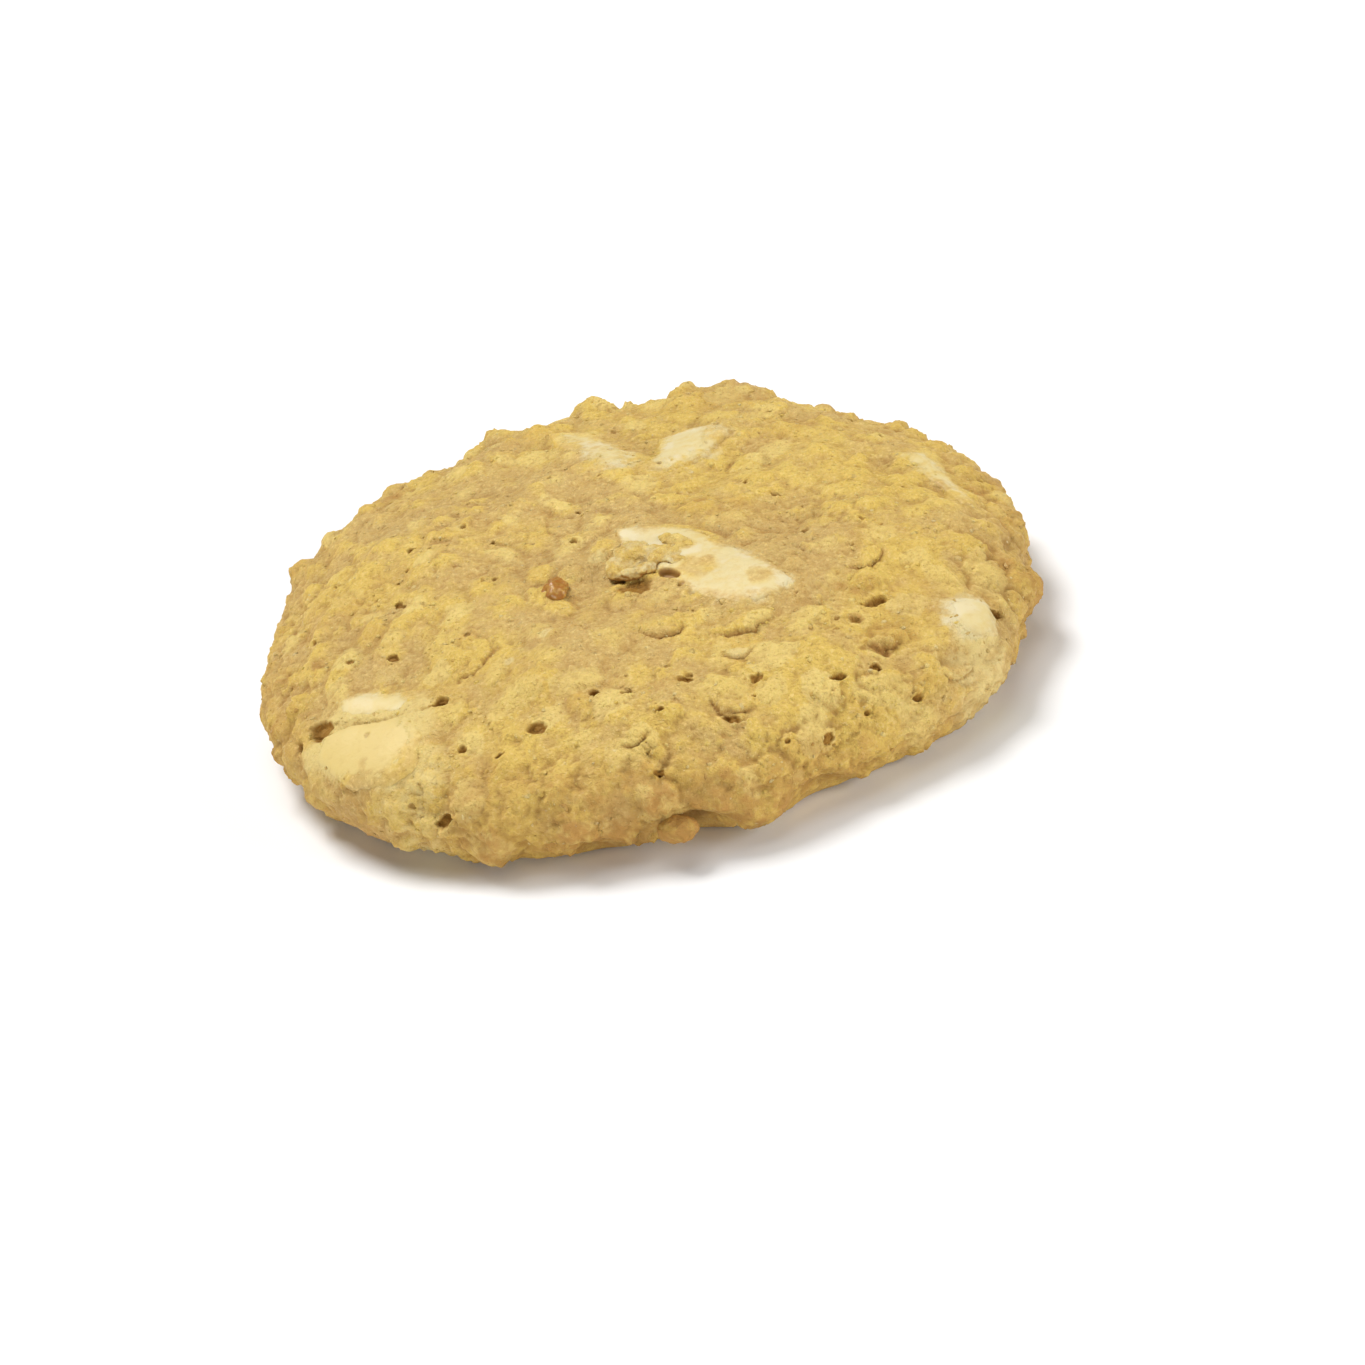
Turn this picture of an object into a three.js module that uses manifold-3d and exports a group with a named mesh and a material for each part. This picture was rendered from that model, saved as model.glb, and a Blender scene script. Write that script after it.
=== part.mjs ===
// A round oat cookie with white chocolate chunks, lying flat with its baked top up.
// Millimetres, +Z up. The origin is on the table, under the middle of the cookie's outline.
// Seen from above, azimuths run anticlockwise from +X, and -Y is the front.
import * as THREE from "three";
import { mergeVertices } from "three/addons/utils/BufferGeometryUtils.js";
import Module from "manifold-3d";

// Driving dimensions of the baked form.
const DIAMETER = 80;
const CROWN_HEIGHT = 15;
const RIM_HEIGHT = 5.2; // the widest ring lies this far above the table
const FOOT_SHARE = 0.86; // radius of the flat underside, as a share of the outline's
const CROWN_POWER = 3; // how long the top stays flat before it rolls over the rim
const RADIUS = DIAMETER / 2;

// Fineness of the meshes, and how thinly the hidden, flat underside is meshed.
const COOKIE_DETAIL = 18;
const CHUNK_DETAIL = 3;
const LUMP_DETAIL = 2;
const PROFILE_STEPS = 400;
const FOOT_WEIGHT = 0.12;
const ROLL_STEPS = PROFILE_STEPS / 4;

// A chunk sits in a pocket of the dough with this gap all round.
const POCKET_GAP = 0.3;

// Swells and dents of the outline: azimuth and half width in degrees, rise in millimetres.
const RIM_SWELLS = [
  { azimuth: -16, spread: 6, rise: 0.6 },
  { azimuth: -42, spread: 10, rise: 2.0 },
  { azimuth: -66, spread: 8, rise: -0.9 },
  { azimuth: -95, spread: 10, rise: -1.5 },
  { azimuth: -124, spread: 8, rise: 0.6 },
  { azimuth: -143, spread: 10, rise: 1.1 },
  { azimuth: 172, spread: 14, rise: -1.1 },
  { azimuth: 146, spread: 8, rise: -0.4 },
  { azimuth: 119, spread: 4, rise: -0.7 },
  { azimuth: 69, spread: 8, rise: 1.0 },
  { azimuth: 45, spread: 10, rise: -1.9 },
  { azimuth: 22, spread: 7, rise: -0.9 },
];
const RIM_SWELL_FROM = 0.7; // share of the radius where the swells begin
const RIM_SWELL_FULL = 0.94;

// Separate lumps of dough and oats on the rim: where they sit, how far they reach and rise.
const LUMPS = [
  { azimuth: -79, z: 2.6, reach: 4.2, rise: 1.0 },
  { azimuth: -118, z: 2.2, reach: 3.2, rise: 1.0 },
  { azimuth: -17, z: 4.6, reach: 3.6, rise: 0.8 },
  { azimuth: 12, z: 7.2, reach: 3.4, rise: 0.8 },
  { azimuth: 30, z: 8.6, reach: 3.0, rise: 0.7 },
  { azimuth: 64, z: 10.4, reach: 4.6, rise: 0.9 },
  { azimuth: 91, z: 10.7, reach: 3.0, rise: 1.8 },
  { azimuth: 108, z: 10.6, reach: 3.2, rise: 1.2 },
  { azimuth: 129, z: 10.0, reach: 2.6, rise: 1.0 },
  { azimuth: 152, z: 8.5, reach: 3.0, rise: 0.6 },
];

// A round oat lump that hangs at the front of the rim, fused to it.
const HANGING_LUMP = { azimuth: -92, z: 3, x: 0.4, y: 0.9, length: 4, width: 2.6, depth: 2.8, sunk: 0.9 };

// Hollows (negative) and swells (positive) of the top, by their place seen from above.
const TOP_SWELLS = [
  { x: 21, y: -23, reach: 4.5, rise: -1.0 },
  { x: 21.5, y: -11.5, reach: 4.0, rise: 0.7 },
  { x: 29, y: -12, reach: 8, rise: 0.5 },
  { x: 27.5, y: 5.5, reach: 3.2, rise: -0.7 },
  { x: 4, y: 20, reach: 6, rise: -0.6 },
  { x: -6, y: -22, reach: 9, rise: 0.5 },
  { x: -17, y: 5, reach: 11, rise: 0.4 },
];

// White chocolate: place and heading of the long side seen from above, then the chunk's three sizes,
// how far its middle lies under the surface and how far it swells the crust over it.
const CHUNKS = [
  { name: "chunk_centre", x: 7.8, y: -9.6, heading: -48, length: 20, width: 9, depth: 7, sunk: 0.6, swell: 0.2 },
  { name: "chunk_front_left", x: -28.6, y: -23.4, heading: -37, length: 14, width: 7.6, depth: 7, sunk: 0.8, swell: 0.6 },
  { name: "chunk_front_left_small", x: -26.6, y: -17.4, heading: -26, length: 7.6, width: 3.2, depth: 4.4, sunk: 0.5, swell: 0.3 },
  { name: "chunk_right", x: 30.6, y: -21.8, heading: -36, length: 7, width: 6.2, depth: 6, sunk: 0.6, swell: 0.7 },
  { name: "chunk_back_left", x: -1.6, y: 20.6, heading: -44, length: 11, width: 6, depth: 5.5, sunk: 0.8, swell: 0.3 },
  { name: "chunk_back", x: 10.4, y: 16.6, heading: 20, length: 9.5, width: 5.8, depth: 5.5, sunk: 0.8, swell: 0.3 },
  { name: "chunk_back_right", x: 32.4, y: 3.2, heading: -61, length: 11, width: 3.8, depth: 5, sunk: 0.6, swell: 0.2 },
];
const CHUNK_POWER = 2.5; // above 2, a chunk is blockier than an ellipsoid
const CHUNK_WOBBLE = 0.07;

// The clump of baked oats over the middle chunk: a curled lump, a bridge and an oat lying on its edge.
const CLUMP = [
  { x: 0.2, y: -6.6, heading: -62, length: 8.6, width: 5, depth: 3.6, sunk: -0.2 },
  { x: 4, y: -7.3, heading: -20, length: 6.5, width: 4.6, depth: 3.2, sunk: -0.1 },
  { x: 5.3, y: -4.7, heading: -34, length: 4.8, width: 1.5, depth: 1.8, sunk: -0.5 },
];

// Rolled oats in the crust: how many, their sizes and how far they stand up.
const FLAKE_SEED = 4127;
const FLAKE_COUNT = 250;
const FLAKE_LENGTH = [4.4, 7.4];
const FLAKE_ASPECT = [0.62, 0.86];
const FLAKE_LIFT = [0.15, 0.8];
const FLAKE_BED = 0.45; // the dough between the flakes lies this far below the smooth form
const FLAKE_TILT = 0.5;
const FLAKE_SHOULDER = 0.55; // share of the half width where a flake's edge begins to fall
const GOLDEN_ANGLE = Math.PI * (3 - Math.sqrt(5));

// Long, low waves over the whole crust: amplitude and wavelength.
const WAVES = [
  { rise: 0.28, length: 21, heading: 25, phase: 0.4 },
  { rise: 0.22, length: 15, heading: 110, phase: 1.9 },
  { rise: 0.16, length: 11, heading: -40, phase: 3.1 },
];

// Nothing is displaced on the underside: the relief fades in over this height above the table.
const RELIEF_FADE = 3.2;

const wasm = await Module();
wasm.setup();

const radians = THREE.MathUtils.degToRad;
const smoothstep = THREE.MathUtils.smoothstep;
const lerp = THREE.MathUtils.lerp;

// Park and Miller's generator, so that every run draws the same flakes.
function makeRandom(seed) {
  let state = seed;
  return () => {
    state = (state * 16807) % 2147483647;
    return state / 2147483647;
  };
}

// Height of the crust over the share of the radius, from the middle of the top to the widest ring.
function crownHeight(share) {
  const fall = Math.max(0, 1 - share ** CROWN_POWER);
  return RIM_HEIGHT + (CROWN_HEIGHT - RIM_HEIGHT) * Math.sqrt(fall);
}

// The section from the top's middle round the rim to the underside's middle. Each point has its share
// of the radius, its height, its outward normal and the share of the surface area passed so far.
function makeProfile() {
  const points = [];
  for (let i = 0; i <= PROFILE_STEPS; i++) {
    const share = Math.sin((i / PROFILE_STEPS) * (Math.PI / 2));
    points.push({ share, z: crownHeight(share) });
  }
  for (let i = 1; i <= ROLL_STEPS; i++) {
    const angle = (i / ROLL_STEPS) * (Math.PI / 2);
    points.push({
      share: FOOT_SHARE + (1 - FOOT_SHARE) * Math.cos(angle),
      z: RIM_HEIGHT * (1 - Math.sin(angle)),
    });
  }
  for (let i = 1; i <= ROLL_STEPS; i++) {
    points.push({ share: FOOT_SHARE * (1 - i / ROLL_STEPS), z: 0 });
  }
  let area = 0;
  points.forEach((point, i) => {
    const before = points[Math.max(0, i - 1)];
    const after = points[Math.min(points.length - 1, i + 1)];
    const normal = new THREE.Vector2(before.z - after.z, RADIUS * (after.share - before.share)).normalize();
    const step = Math.hypot(RADIUS * (point.share - before.share), point.z - before.z);
    const weight = point.z === 0 ? FOOT_WEIGHT : 1;
    area += weight * step * ((point.share + before.share) / 2);
    Object.assign(point, { normal, area });
  });
  points.forEach((point) => (point.area /= area));
  return points;
}

const PROFILE = makeProfile();

// The profile's point that a share of the surface area leads to.
function profileAt(area) {
  let low = 0;
  let high = PROFILE.length - 1;
  while (high - low > 1) {
    const middle = (low + high) >> 1;
    if (PROFILE[middle].area > area) high = middle;
    else low = middle;
  }
  const from = PROFILE[low];
  const to = PROFILE[high];
  const t = THREE.MathUtils.clamp((area - from.area) / (to.area - from.area), 0, 1);
  return {
    share: lerp(from.share, to.share, t),
    z: lerp(from.z, to.z, t),
    normal: from.normal.clone().lerp(to.normal, t).normalize(),
  };
}

// A point of the smooth form with its outward normal, from an azimuth and a share of the area.
function smoothSurface(azimuth, area) {
  const { share, z, normal } = profileAt(area);
  const outward = new THREE.Vector3(Math.cos(azimuth), Math.sin(azimuth), 0);
  return {
    share,
    azimuth,
    point: outward.clone().multiplyScalar(RADIUS * share).setZ(z),
    normal: outward.clone().multiplyScalar(normal.x).setZ(normal.y),
  };
}

// The share of the area that lies above a share of the radius on the top.
function areaAtTop(share) {
  return PROFILE.find((point) => point.share >= share).area;
}

// The share of the area that lies above a height on the outside of the rim.
function areaAtHeight(z) {
  return PROFILE.find((point) => point.z <= z).area;
}

// A place on the top seen from above, with axes along a heading, across it and outwards.
function placeOnTop(x, y, heading) {
  const place = smoothSurface(Math.atan2(y, x), areaAtTop(Math.hypot(x, y) / RADIUS));
  const along = new THREE.Vector3(Math.cos(radians(heading)), Math.sin(radians(heading)), 0);
  along.addScaledVector(place.normal, -along.dot(place.normal)).normalize();
  return { ...place, along, across: place.normal.clone().cross(along) };
}

// A place on the outside of the rim, with axes round the rim, up it and outwards.
function placeOnRim(azimuth, z) {
  const place = smoothSurface(radians(azimuth), areaAtHeight(z));
  const along = new THREE.Vector3(-Math.sin(place.azimuth), Math.cos(place.azimuth), 0);
  return { ...place, along, across: place.normal.clone().cross(along) };
}

// Bump that is 1 at the middle and falls smoothly to 0 at a reach of 1.
function roundBump(reach) {
  return reach < 1 ? (1 - reach * reach) ** 2 : 0;
}

function degreesApart(a, b) {
  return Math.abs(((a - b + 540) % 360) - 180);
}

const chunkPlaces = CHUNKS.map((chunk) => ({ ...chunk, ...placeOnTop(chunk.x, chunk.y, chunk.heading) }));
const lumpPlaces = LUMPS.map((lump) => ({ ...lump, ...placeOnRim(lump.azimuth, lump.z) }));

// How far a point lies from the middle of an oval on the surface, where 1 is on the oval.
function ovalReach(point, place) {
  const offset = point.clone().sub(place.point);
  return Math.hypot(offset.dot(place.along) / (place.length / 2), offset.dot(place.across) / (place.width / 2));
}

// Flakes lie on a sunflower spiral over the top and the rim, each turned, sized and tilted at random.
function makeFlakes() {
  const random = makeRandom(FLAKE_SEED);
  const between = ([low, high]) => lerp(low, high, random());
  const lowest = areaAtHeight(RIM_HEIGHT / 2);
  const flakes = [];
  for (let i = 0; i < FLAKE_COUNT; i++) {
    const place = smoothSurface(i * GOLDEN_ANGLE, ((i + 0.5) / FLAKE_COUNT) * lowest);
    const turn = random() * Math.PI;
    const sideways = new THREE.Vector3(-Math.sin(place.azimuth), Math.cos(place.azimuth), 0);
    const along = sideways.applyAxisAngle(place.normal, turn);
    const length = between(FLAKE_LENGTH);
    const width = length * between(FLAKE_ASPECT);
    const lift = between(FLAKE_LIFT);
    const tilt = (2 * random() - 1) * FLAKE_TILT;
    flakes.push({ ...place, along, across: place.normal.clone().cross(along), length, width, lift, tilt });
  }
  return flakes;
}

const FLAKES = makeFlakes();

// Relief of the flakes: where they overlap, the higher one shows.
function flakeRelief(point) {
  let highest = 0;
  for (const flake of FLAKES) {
    if (point.distanceToSquared(flake.point) > (flake.length / 2) ** 2) continue;
    const reach = ovalReach(point, flake);
    if (reach >= 1) continue;
    const slope = (flake.tilt * point.clone().sub(flake.point).dot(flake.along)) / (flake.length / 2);
    const rise = (flake.lift + slope) * (1 - smoothstep(reach, FLAKE_SHOULDER, 1));
    highest = Math.max(highest, rise);
  }
  return highest;
}

function waveRelief(point) {
  return WAVES.reduce((sum, { rise, length, heading, phase }) => {
    const run = point.x * Math.cos(radians(heading)) + point.y * Math.sin(radians(heading));
    return sum + rise * Math.sin((run / length) * 2 * Math.PI + phase);
  }, 0);
}

function rimSwell(place) {
  const share = smoothstep(place.share, RIM_SWELL_FROM, RIM_SWELL_FULL);
  const azimuth = THREE.MathUtils.radToDeg(place.azimuth);
  return RIM_SWELLS.reduce((sum, swell) => {
    const apart = degreesApart(azimuth, swell.azimuth) / swell.spread;
    return sum + share * swell.rise * Math.exp(-apart * apart);
  }, 0);
}

function lumpRelief(point) {
  return lumpPlaces.reduce((sum, lump) => {
    return sum + lump.rise * roundBump(point.distanceTo(lump.point) / lump.reach);
  }, 0);
}

function topRelief(point) {
  return TOP_SWELLS.reduce((sum, swell) => {
    const reach = Math.hypot(point.x - swell.x, point.y - swell.y) / swell.reach;
    return sum + swell.rise * Math.exp(-reach * reach);
  }, 0);
}

// The rim swells outwards, foot and all, and the relief stands on it. The crust over a chunk has no
// flakes in it, and swells a little.
function displaced(place) {
  let smooth = 0;
  let swell = 0;
  for (const chunk of chunkPlaces) {
    const cover = 1 - smoothstep(ovalReach(place.point, chunk), 0.9, 1.35);
    smooth = Math.max(smooth, cover);
    swell += cover * chunk.swell;
  }
  const fade = smoothstep(place.point.z, 0, RELIEF_FADE);
  const top = place.normal.z > 0 ? topRelief(place.point) : 0;
  const flakes = (1 - smooth) * (flakeRelief(place.point) - FLAKE_BED);
  const relief = fade * (top + waveRelief(place.point) + swell + flakes) + lumpRelief(place.point);
  const outward = new THREE.Vector3(Math.cos(place.azimuth), Math.sin(place.azimuth), 0);
  const moved = place.point.clone().addScaledVector(place.normal, relief);
  moved.addScaledVector(outward, rimSwell(place));
  moved.z = Math.max(0, moved.z);
  return moved;
}

// A geodesic sphere with each vertex moved by a function, as a closed solid.
function solidFromSphere(detail, move) {
  const sphere = new THREE.IcosahedronGeometry(1, detail);
  sphere.deleteAttribute("normal");
  sphere.deleteAttribute("uv");
  const merged = mergeVertices(sphere);
  const positions = merged.getAttribute("position");
  const vertex = new THREE.Vector3();
  for (let i = 0; i < positions.count; i++) {
    vertex.fromBufferAttribute(positions, i).normalize();
    positions.setXYZ(i, ...move(vertex).toArray());
  }
  const vertProperties = new Float32Array(positions.array);
  const triVerts = new Uint32Array(merged.index.array);
  return new wasm.Manifold(new wasm.Mesh({ numProp: 3, vertProperties, triVerts }));
}

// Equal areas of the sphere become equal areas of the cookie, from the top pole to the underside.
function makeWholeCookie() {
  return solidFromSphere(COOKIE_DETAIL, (direction) => {
    const azimuth = Math.atan2(direction.y, direction.x);
    return displaced(smoothSurface(azimuth, (1 - direction.z) / 2));
  });
}

// A blocky, slightly uneven lump of the given sizes, set under the crust. A gap makes it larger all round.
function makeChunk(place, gap, detail = CHUNK_DETAIL) {
  const half = new THREE.Vector3(place.length, place.width, place.depth).multiplyScalar(0.5).addScalar(gap);
  const middle = place.point.clone().addScaledVector(place.normal, -place.sunk);
  return solidFromSphere(detail, (direction) => {
    const block = direction.toArray().reduce((sum, part) => sum + Math.abs(part) ** CHUNK_POWER, 0);
    const wobble = Math.sin(3 * direction.x + place.x) * Math.cos(4 * direction.y + place.y);
    const radius = (1 + CHUNK_WOBBLE * wobble) / block ** (1 / CHUNK_POWER);
    return middle
      .clone()
      .addScaledVector(place.along, radius * half.x * direction.x)
      .addScaledVector(place.across, radius * half.y * direction.y)
      .addScaledVector(place.normal, radius * half.z * direction.z);
  });
}

// The largest body of a solid, without scraps that a cut has set loose.
function largestBody(solid) {
  return solid.decompose().reduce((a, b) => (a.volume() > b.volume() ? a : b));
}

function meshFrom(solid, name, material) {
  const made = solid.getMesh();
  const geometry = new THREE.BufferGeometry();
  geometry.setAttribute("position", new THREE.BufferAttribute(new Float32Array(made.vertProperties), 3));
  geometry.setIndex(new THREE.BufferAttribute(new Uint32Array(made.triVerts), 1));
  geometry.computeVertexNormals();
  const mesh = new THREE.Mesh(geometry, material);
  mesh.name = name;
  return mesh;
}

const crust = new THREE.MeshStandardMaterial({ color: 0xd4ad62, roughness: 0.75, metalness: 0 });
const whiteChocolate = new THREE.MeshStandardMaterial({ color: 0xf2e2ae, roughness: 0.5, metalness: 0 });

const whole = makeWholeCookie();
const clumpPlaces = CLUMP.map((lump) => ({ ...lump, ...placeOnTop(lump.x, lump.y, lump.heading) }));

const cookie = new THREE.Group();
let dough = whole;
for (const place of chunkPlaces) {
  dough = dough.subtract(makeChunk(place, POCKET_GAP));
}
const hangingPlace = { ...HANGING_LUMP, ...placeOnRim(HANGING_LUMP.azimuth, HANGING_LUMP.z) };
for (const place of [...clumpPlaces, hangingPlace]) {
  dough = dough.add(makeChunk(place, 0, LUMP_DETAIL));
}
cookie.add(meshFrom(largestBody(dough), "dough", crust));
for (const place of chunkPlaces) {
  let chunk = whole.intersect(makeChunk(place, 0));
  for (const lump of clumpPlaces) {
    chunk = chunk.subtract(makeChunk(lump, POCKET_GAP, LUMP_DETAIL));
  }
  cookie.add(meshFrom(largestBody(chunk), place.name, whiteChocolate));
}

export default cookie;
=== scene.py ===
"""Looks of a round oat cookie with white chocolate chunks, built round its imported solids.

Lengths are in millimetres until a mesh is made, and every mesh is in metres.
"""

import math

import bmesh
import bpy
import numpy as np
from mathutils import Matrix, Vector


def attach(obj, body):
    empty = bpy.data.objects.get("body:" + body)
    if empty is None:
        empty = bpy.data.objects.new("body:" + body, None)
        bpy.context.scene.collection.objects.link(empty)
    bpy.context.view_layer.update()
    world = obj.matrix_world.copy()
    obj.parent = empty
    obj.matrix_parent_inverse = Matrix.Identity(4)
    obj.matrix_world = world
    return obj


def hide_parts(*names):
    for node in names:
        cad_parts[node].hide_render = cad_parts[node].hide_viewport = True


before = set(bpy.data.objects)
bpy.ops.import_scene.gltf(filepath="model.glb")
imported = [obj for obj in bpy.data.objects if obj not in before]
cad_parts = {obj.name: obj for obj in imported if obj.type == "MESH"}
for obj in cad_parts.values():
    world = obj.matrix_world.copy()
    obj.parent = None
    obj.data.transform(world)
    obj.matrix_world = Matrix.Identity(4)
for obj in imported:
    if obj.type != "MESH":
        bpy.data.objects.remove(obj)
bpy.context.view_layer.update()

MM = 0.001
BODY = "root"
TURN = 2 * math.pi

# The baked form, as in the solids.
DIAMETER = 80.0
CROWN_HEIGHT = 15.0
RIM_HEIGHT = 5.2
FOOT_SHARE = 0.86
CROWN_POWER = 3.0
RADIUS = DIAMETER / 2
CROWN_STEPS = 400
ROLL_STEPS = 100

# Swells and dents of the outline: azimuth, half width in degrees, rise.
RIM_SWELLS = [
    (-16, 6, 0.6), (-42, 10, 2), (-66, 8, -0.9), (-95, 10, -1.5), (-124, 8, 0.6), (-143, 10, 1.1),
    (172, 14, -1.1), (146, 8, -0.4), (119, 4, -0.7), (69, 8, 1), (45, 10, -1.9), (22, 7, -0.9),
]
RIM_SWELL_FROM = 0.7
RIM_SWELL_FULL = 0.94

# Lumps on the rim: azimuth, height over the table, reach, rise.
LUMPS = [
    (-79, 2.6, 4.2, 1), (-118, 2.2, 3.2, 1), (-17, 4.6, 3.6, 0.8), (12, 7.2, 3.4, 0.8),
    (30, 8.6, 3, 0.7), (64, 10.4, 4.6, 0.9), (91, 10.7, 3, 1.8), (108, 10.6, 3.2, 1.2),
    (129, 10, 2.6, 1), (152, 8.5, 3, 0.6),
]

# Undercuts of the low rim in front and steps of the rim at the back, in the same terms.
RIM_DETAILS = [
    (-88.5, 1.6, 4.4, -2.3), (-104, 1.6, 3.4, -0.8), (-70, 1.6, 4, -1), (79.5, 10.4, 3.4, -1.4),
    (73, 10.4, 3, 0.3), (67, 10.2, 3.6, 0.4), (60.5, 10.2, 3, 0.4), (54.5, 10.2, 3.4, -1),
    (40, 9.4, 4, -0.8), (24.5, 8.8, 3, 0.5), (31, 8, 2.6, -0.5), (78, 10.6, 1.8, -0.5),
    (84.5, 10.4, 1.4, 0.6), (102, 10.2, 2.4, -0.6), (121, 9.8, 2.4, 0.6),
]

# Hollows and swells of the top: x, y, reach, rise.
TOP_SWELLS = [
    (21, -23, 4.5, -1), (21.5, -11.5, 4, 0.7), (29, -12, 8, 0.5), (27.5, 5.5, 3.2, -0.7),
    (4, 20, 6, -0.6), (-6, -22, 9, 0.5), (-17, 5, 11, 0.4),
]

# Long, low waves over the crust: rise, length, heading, phase.
WAVES = [(0.28, 21, 25, 0.4), (0.22, 15, 110, 1.9), (0.16, 11, -40, 3.1)]
RELIEF_FADE = 3.2
FINE_FADE_HEIGHT = 1.2

# White chocolate: node, middle x and y, length, depth and swell of the crust. Then, as distances from
# the outline, where the face is bare, where a film of crust begins and where the crust hides it. Then
# heading and size of the veiled side, raggedness, butter tint, and how clear the clearest part is.
CHUNKS = [
    ("chunk_centre", 7.8, -9.6, 20, 7, 0.2, -0.1, -1.4, 1.0, 0, 0.0, 1.0, 0.1, 1.0),
    ("chunk_front_left", -28.2, -23.0, 6, 7, 0.4, -0.7, -1.2, 2.4, -100, 2.2, 1.1, 1.0, 1.0),
    ("chunk_front_left_small", -27.3, -17.8, 7.6, 4.4, 0.3, -0.3, -0.6, 1.0, 170, 0.3, 0.4, 0.45, 1.0),
    ("chunk_right", 30.0, -21.6, 6, 6, 0.7, -0.2, -0.6, 1.8, -50, 0.4, 0.6, 0.15, 1.0),
    ("chunk_back_left", -0.8, 19.6, 10, 5.5, 0.3, -1.2, -1.6, 1.6, 115, 1.0, 0.9, 0.2, 0.72),
    ("chunk_back", 9.1, 16.2, 8, 5.5, 0.3, -0.9, -1.8, 2.0, 80, 0.8, 1.2, 0.1, 1.0),
    ("chunk_back_right", 32.6, 2.4, 11, 5, 0.2, -1.0, -1.2, 1.3, -75, 0.6, 1.0, 0.3, 0.75),
]

# Outline of the face of each chunk, corner by corner: x, y.
CHUNK_FACES = {
    "chunk_centre": [
        (-0.6, -0.4), (3.4, -1), (7.2, -4.2), (11.2, -9.6), (14.8, -15.8), (13.6, -17.9),
        (9.5, -18.6), (6.2, -16.2), (4.6, -13.2), (2.8, -10.4), (-0.4, -6),
    ],
    "chunk_front_left": [
        (-31.7, -18.8), (-28.9, -19.2), (-24.1, -21.6), (-22.8, -25), (-23.9, -27.6),
        (-26.5, -28), (-29.8, -25.3), (-32, -22), (-32.9, -20.1),
    ],
    "chunk_front_left_small": [
        (-30.1, -15.6), (-29.3, -15.4), (-25, -17.5), (-24.1, -19.2),
        (-24.5, -20.1), (-26.7, -18.9), (-29.1, -17.9), (-30.1, -17),
    ],
    "chunk_right": [
        (28.8, -20.5), (30.4, -19.9), (31.9, -20), (32.1, -21.1),
        (31.7, -22.9), (30, -24), (28.6, -23.6), (27.9, -22.6),
    ],
    "chunk_back_left": [
        (-5.3, 26.6), (-1.6, 25.6), (0.7, 20.6), (2.7, 15.6),
        (1.5, 14.3), (-0.6, 14.6), (-1.9, 17.2), (-4.7, 22.7),
    ],
    "chunk_back": [
        (5.8, 20.2), (8, 20.9), (10.8, 19.4), (13, 17.2), (9.4, 13.3), (6.4, 11.9), (5.4, 13.5),
    ],
    "chunk_back_right": [
        (29.6, 7.6), (31.6, 7.4), (33.3, 3.8), (34.2, 0.6),
        (34.6, -3.6), (33.6, -4), (32.7, 0.4), (31.2, 3.8),
    ],
}

# A chunk's lap under the crust, its pocket in it, its back's share of the depth, and the film over it.
CHUNK_LAP = 0.6
CHUNK_POCKET = 0.3
CHUNK_BACK_SHARE = 0.6
FILM_THICKNESS = 0.03

# Distances from the outline over which a chunk's swell fades and its bare face and film end.
SWELL_SPAN = (-1.2, 1.0)
BARE_BEFORE = 0.2
BARE_AFTER = 0.3
FILM_AFTER = 0.4

# Rolled oats in the crust, and the lobes of their outline: how many, how large.
FLAKE_SEED = 4127
FLAKE_COUNT = 250
FLAKE_LENGTH = (4.4, 7.4)
FLAKE_ASPECT = (0.62, 0.86)
FLAKE_LIFT = (0.15, 0.8)
FLAKE_TILT = 0.5
FLAKE_LOBES = ((2, 0.10), (3, 0.08), (5, 0.05))
FLAKE_EDGE_POWER = 1.5
FLAKE_REACH = 0.62
FLAKES_ABOVE = 0.5
GOLDEN_ANGLE = math.pi * (3 - math.sqrt(5))

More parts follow.
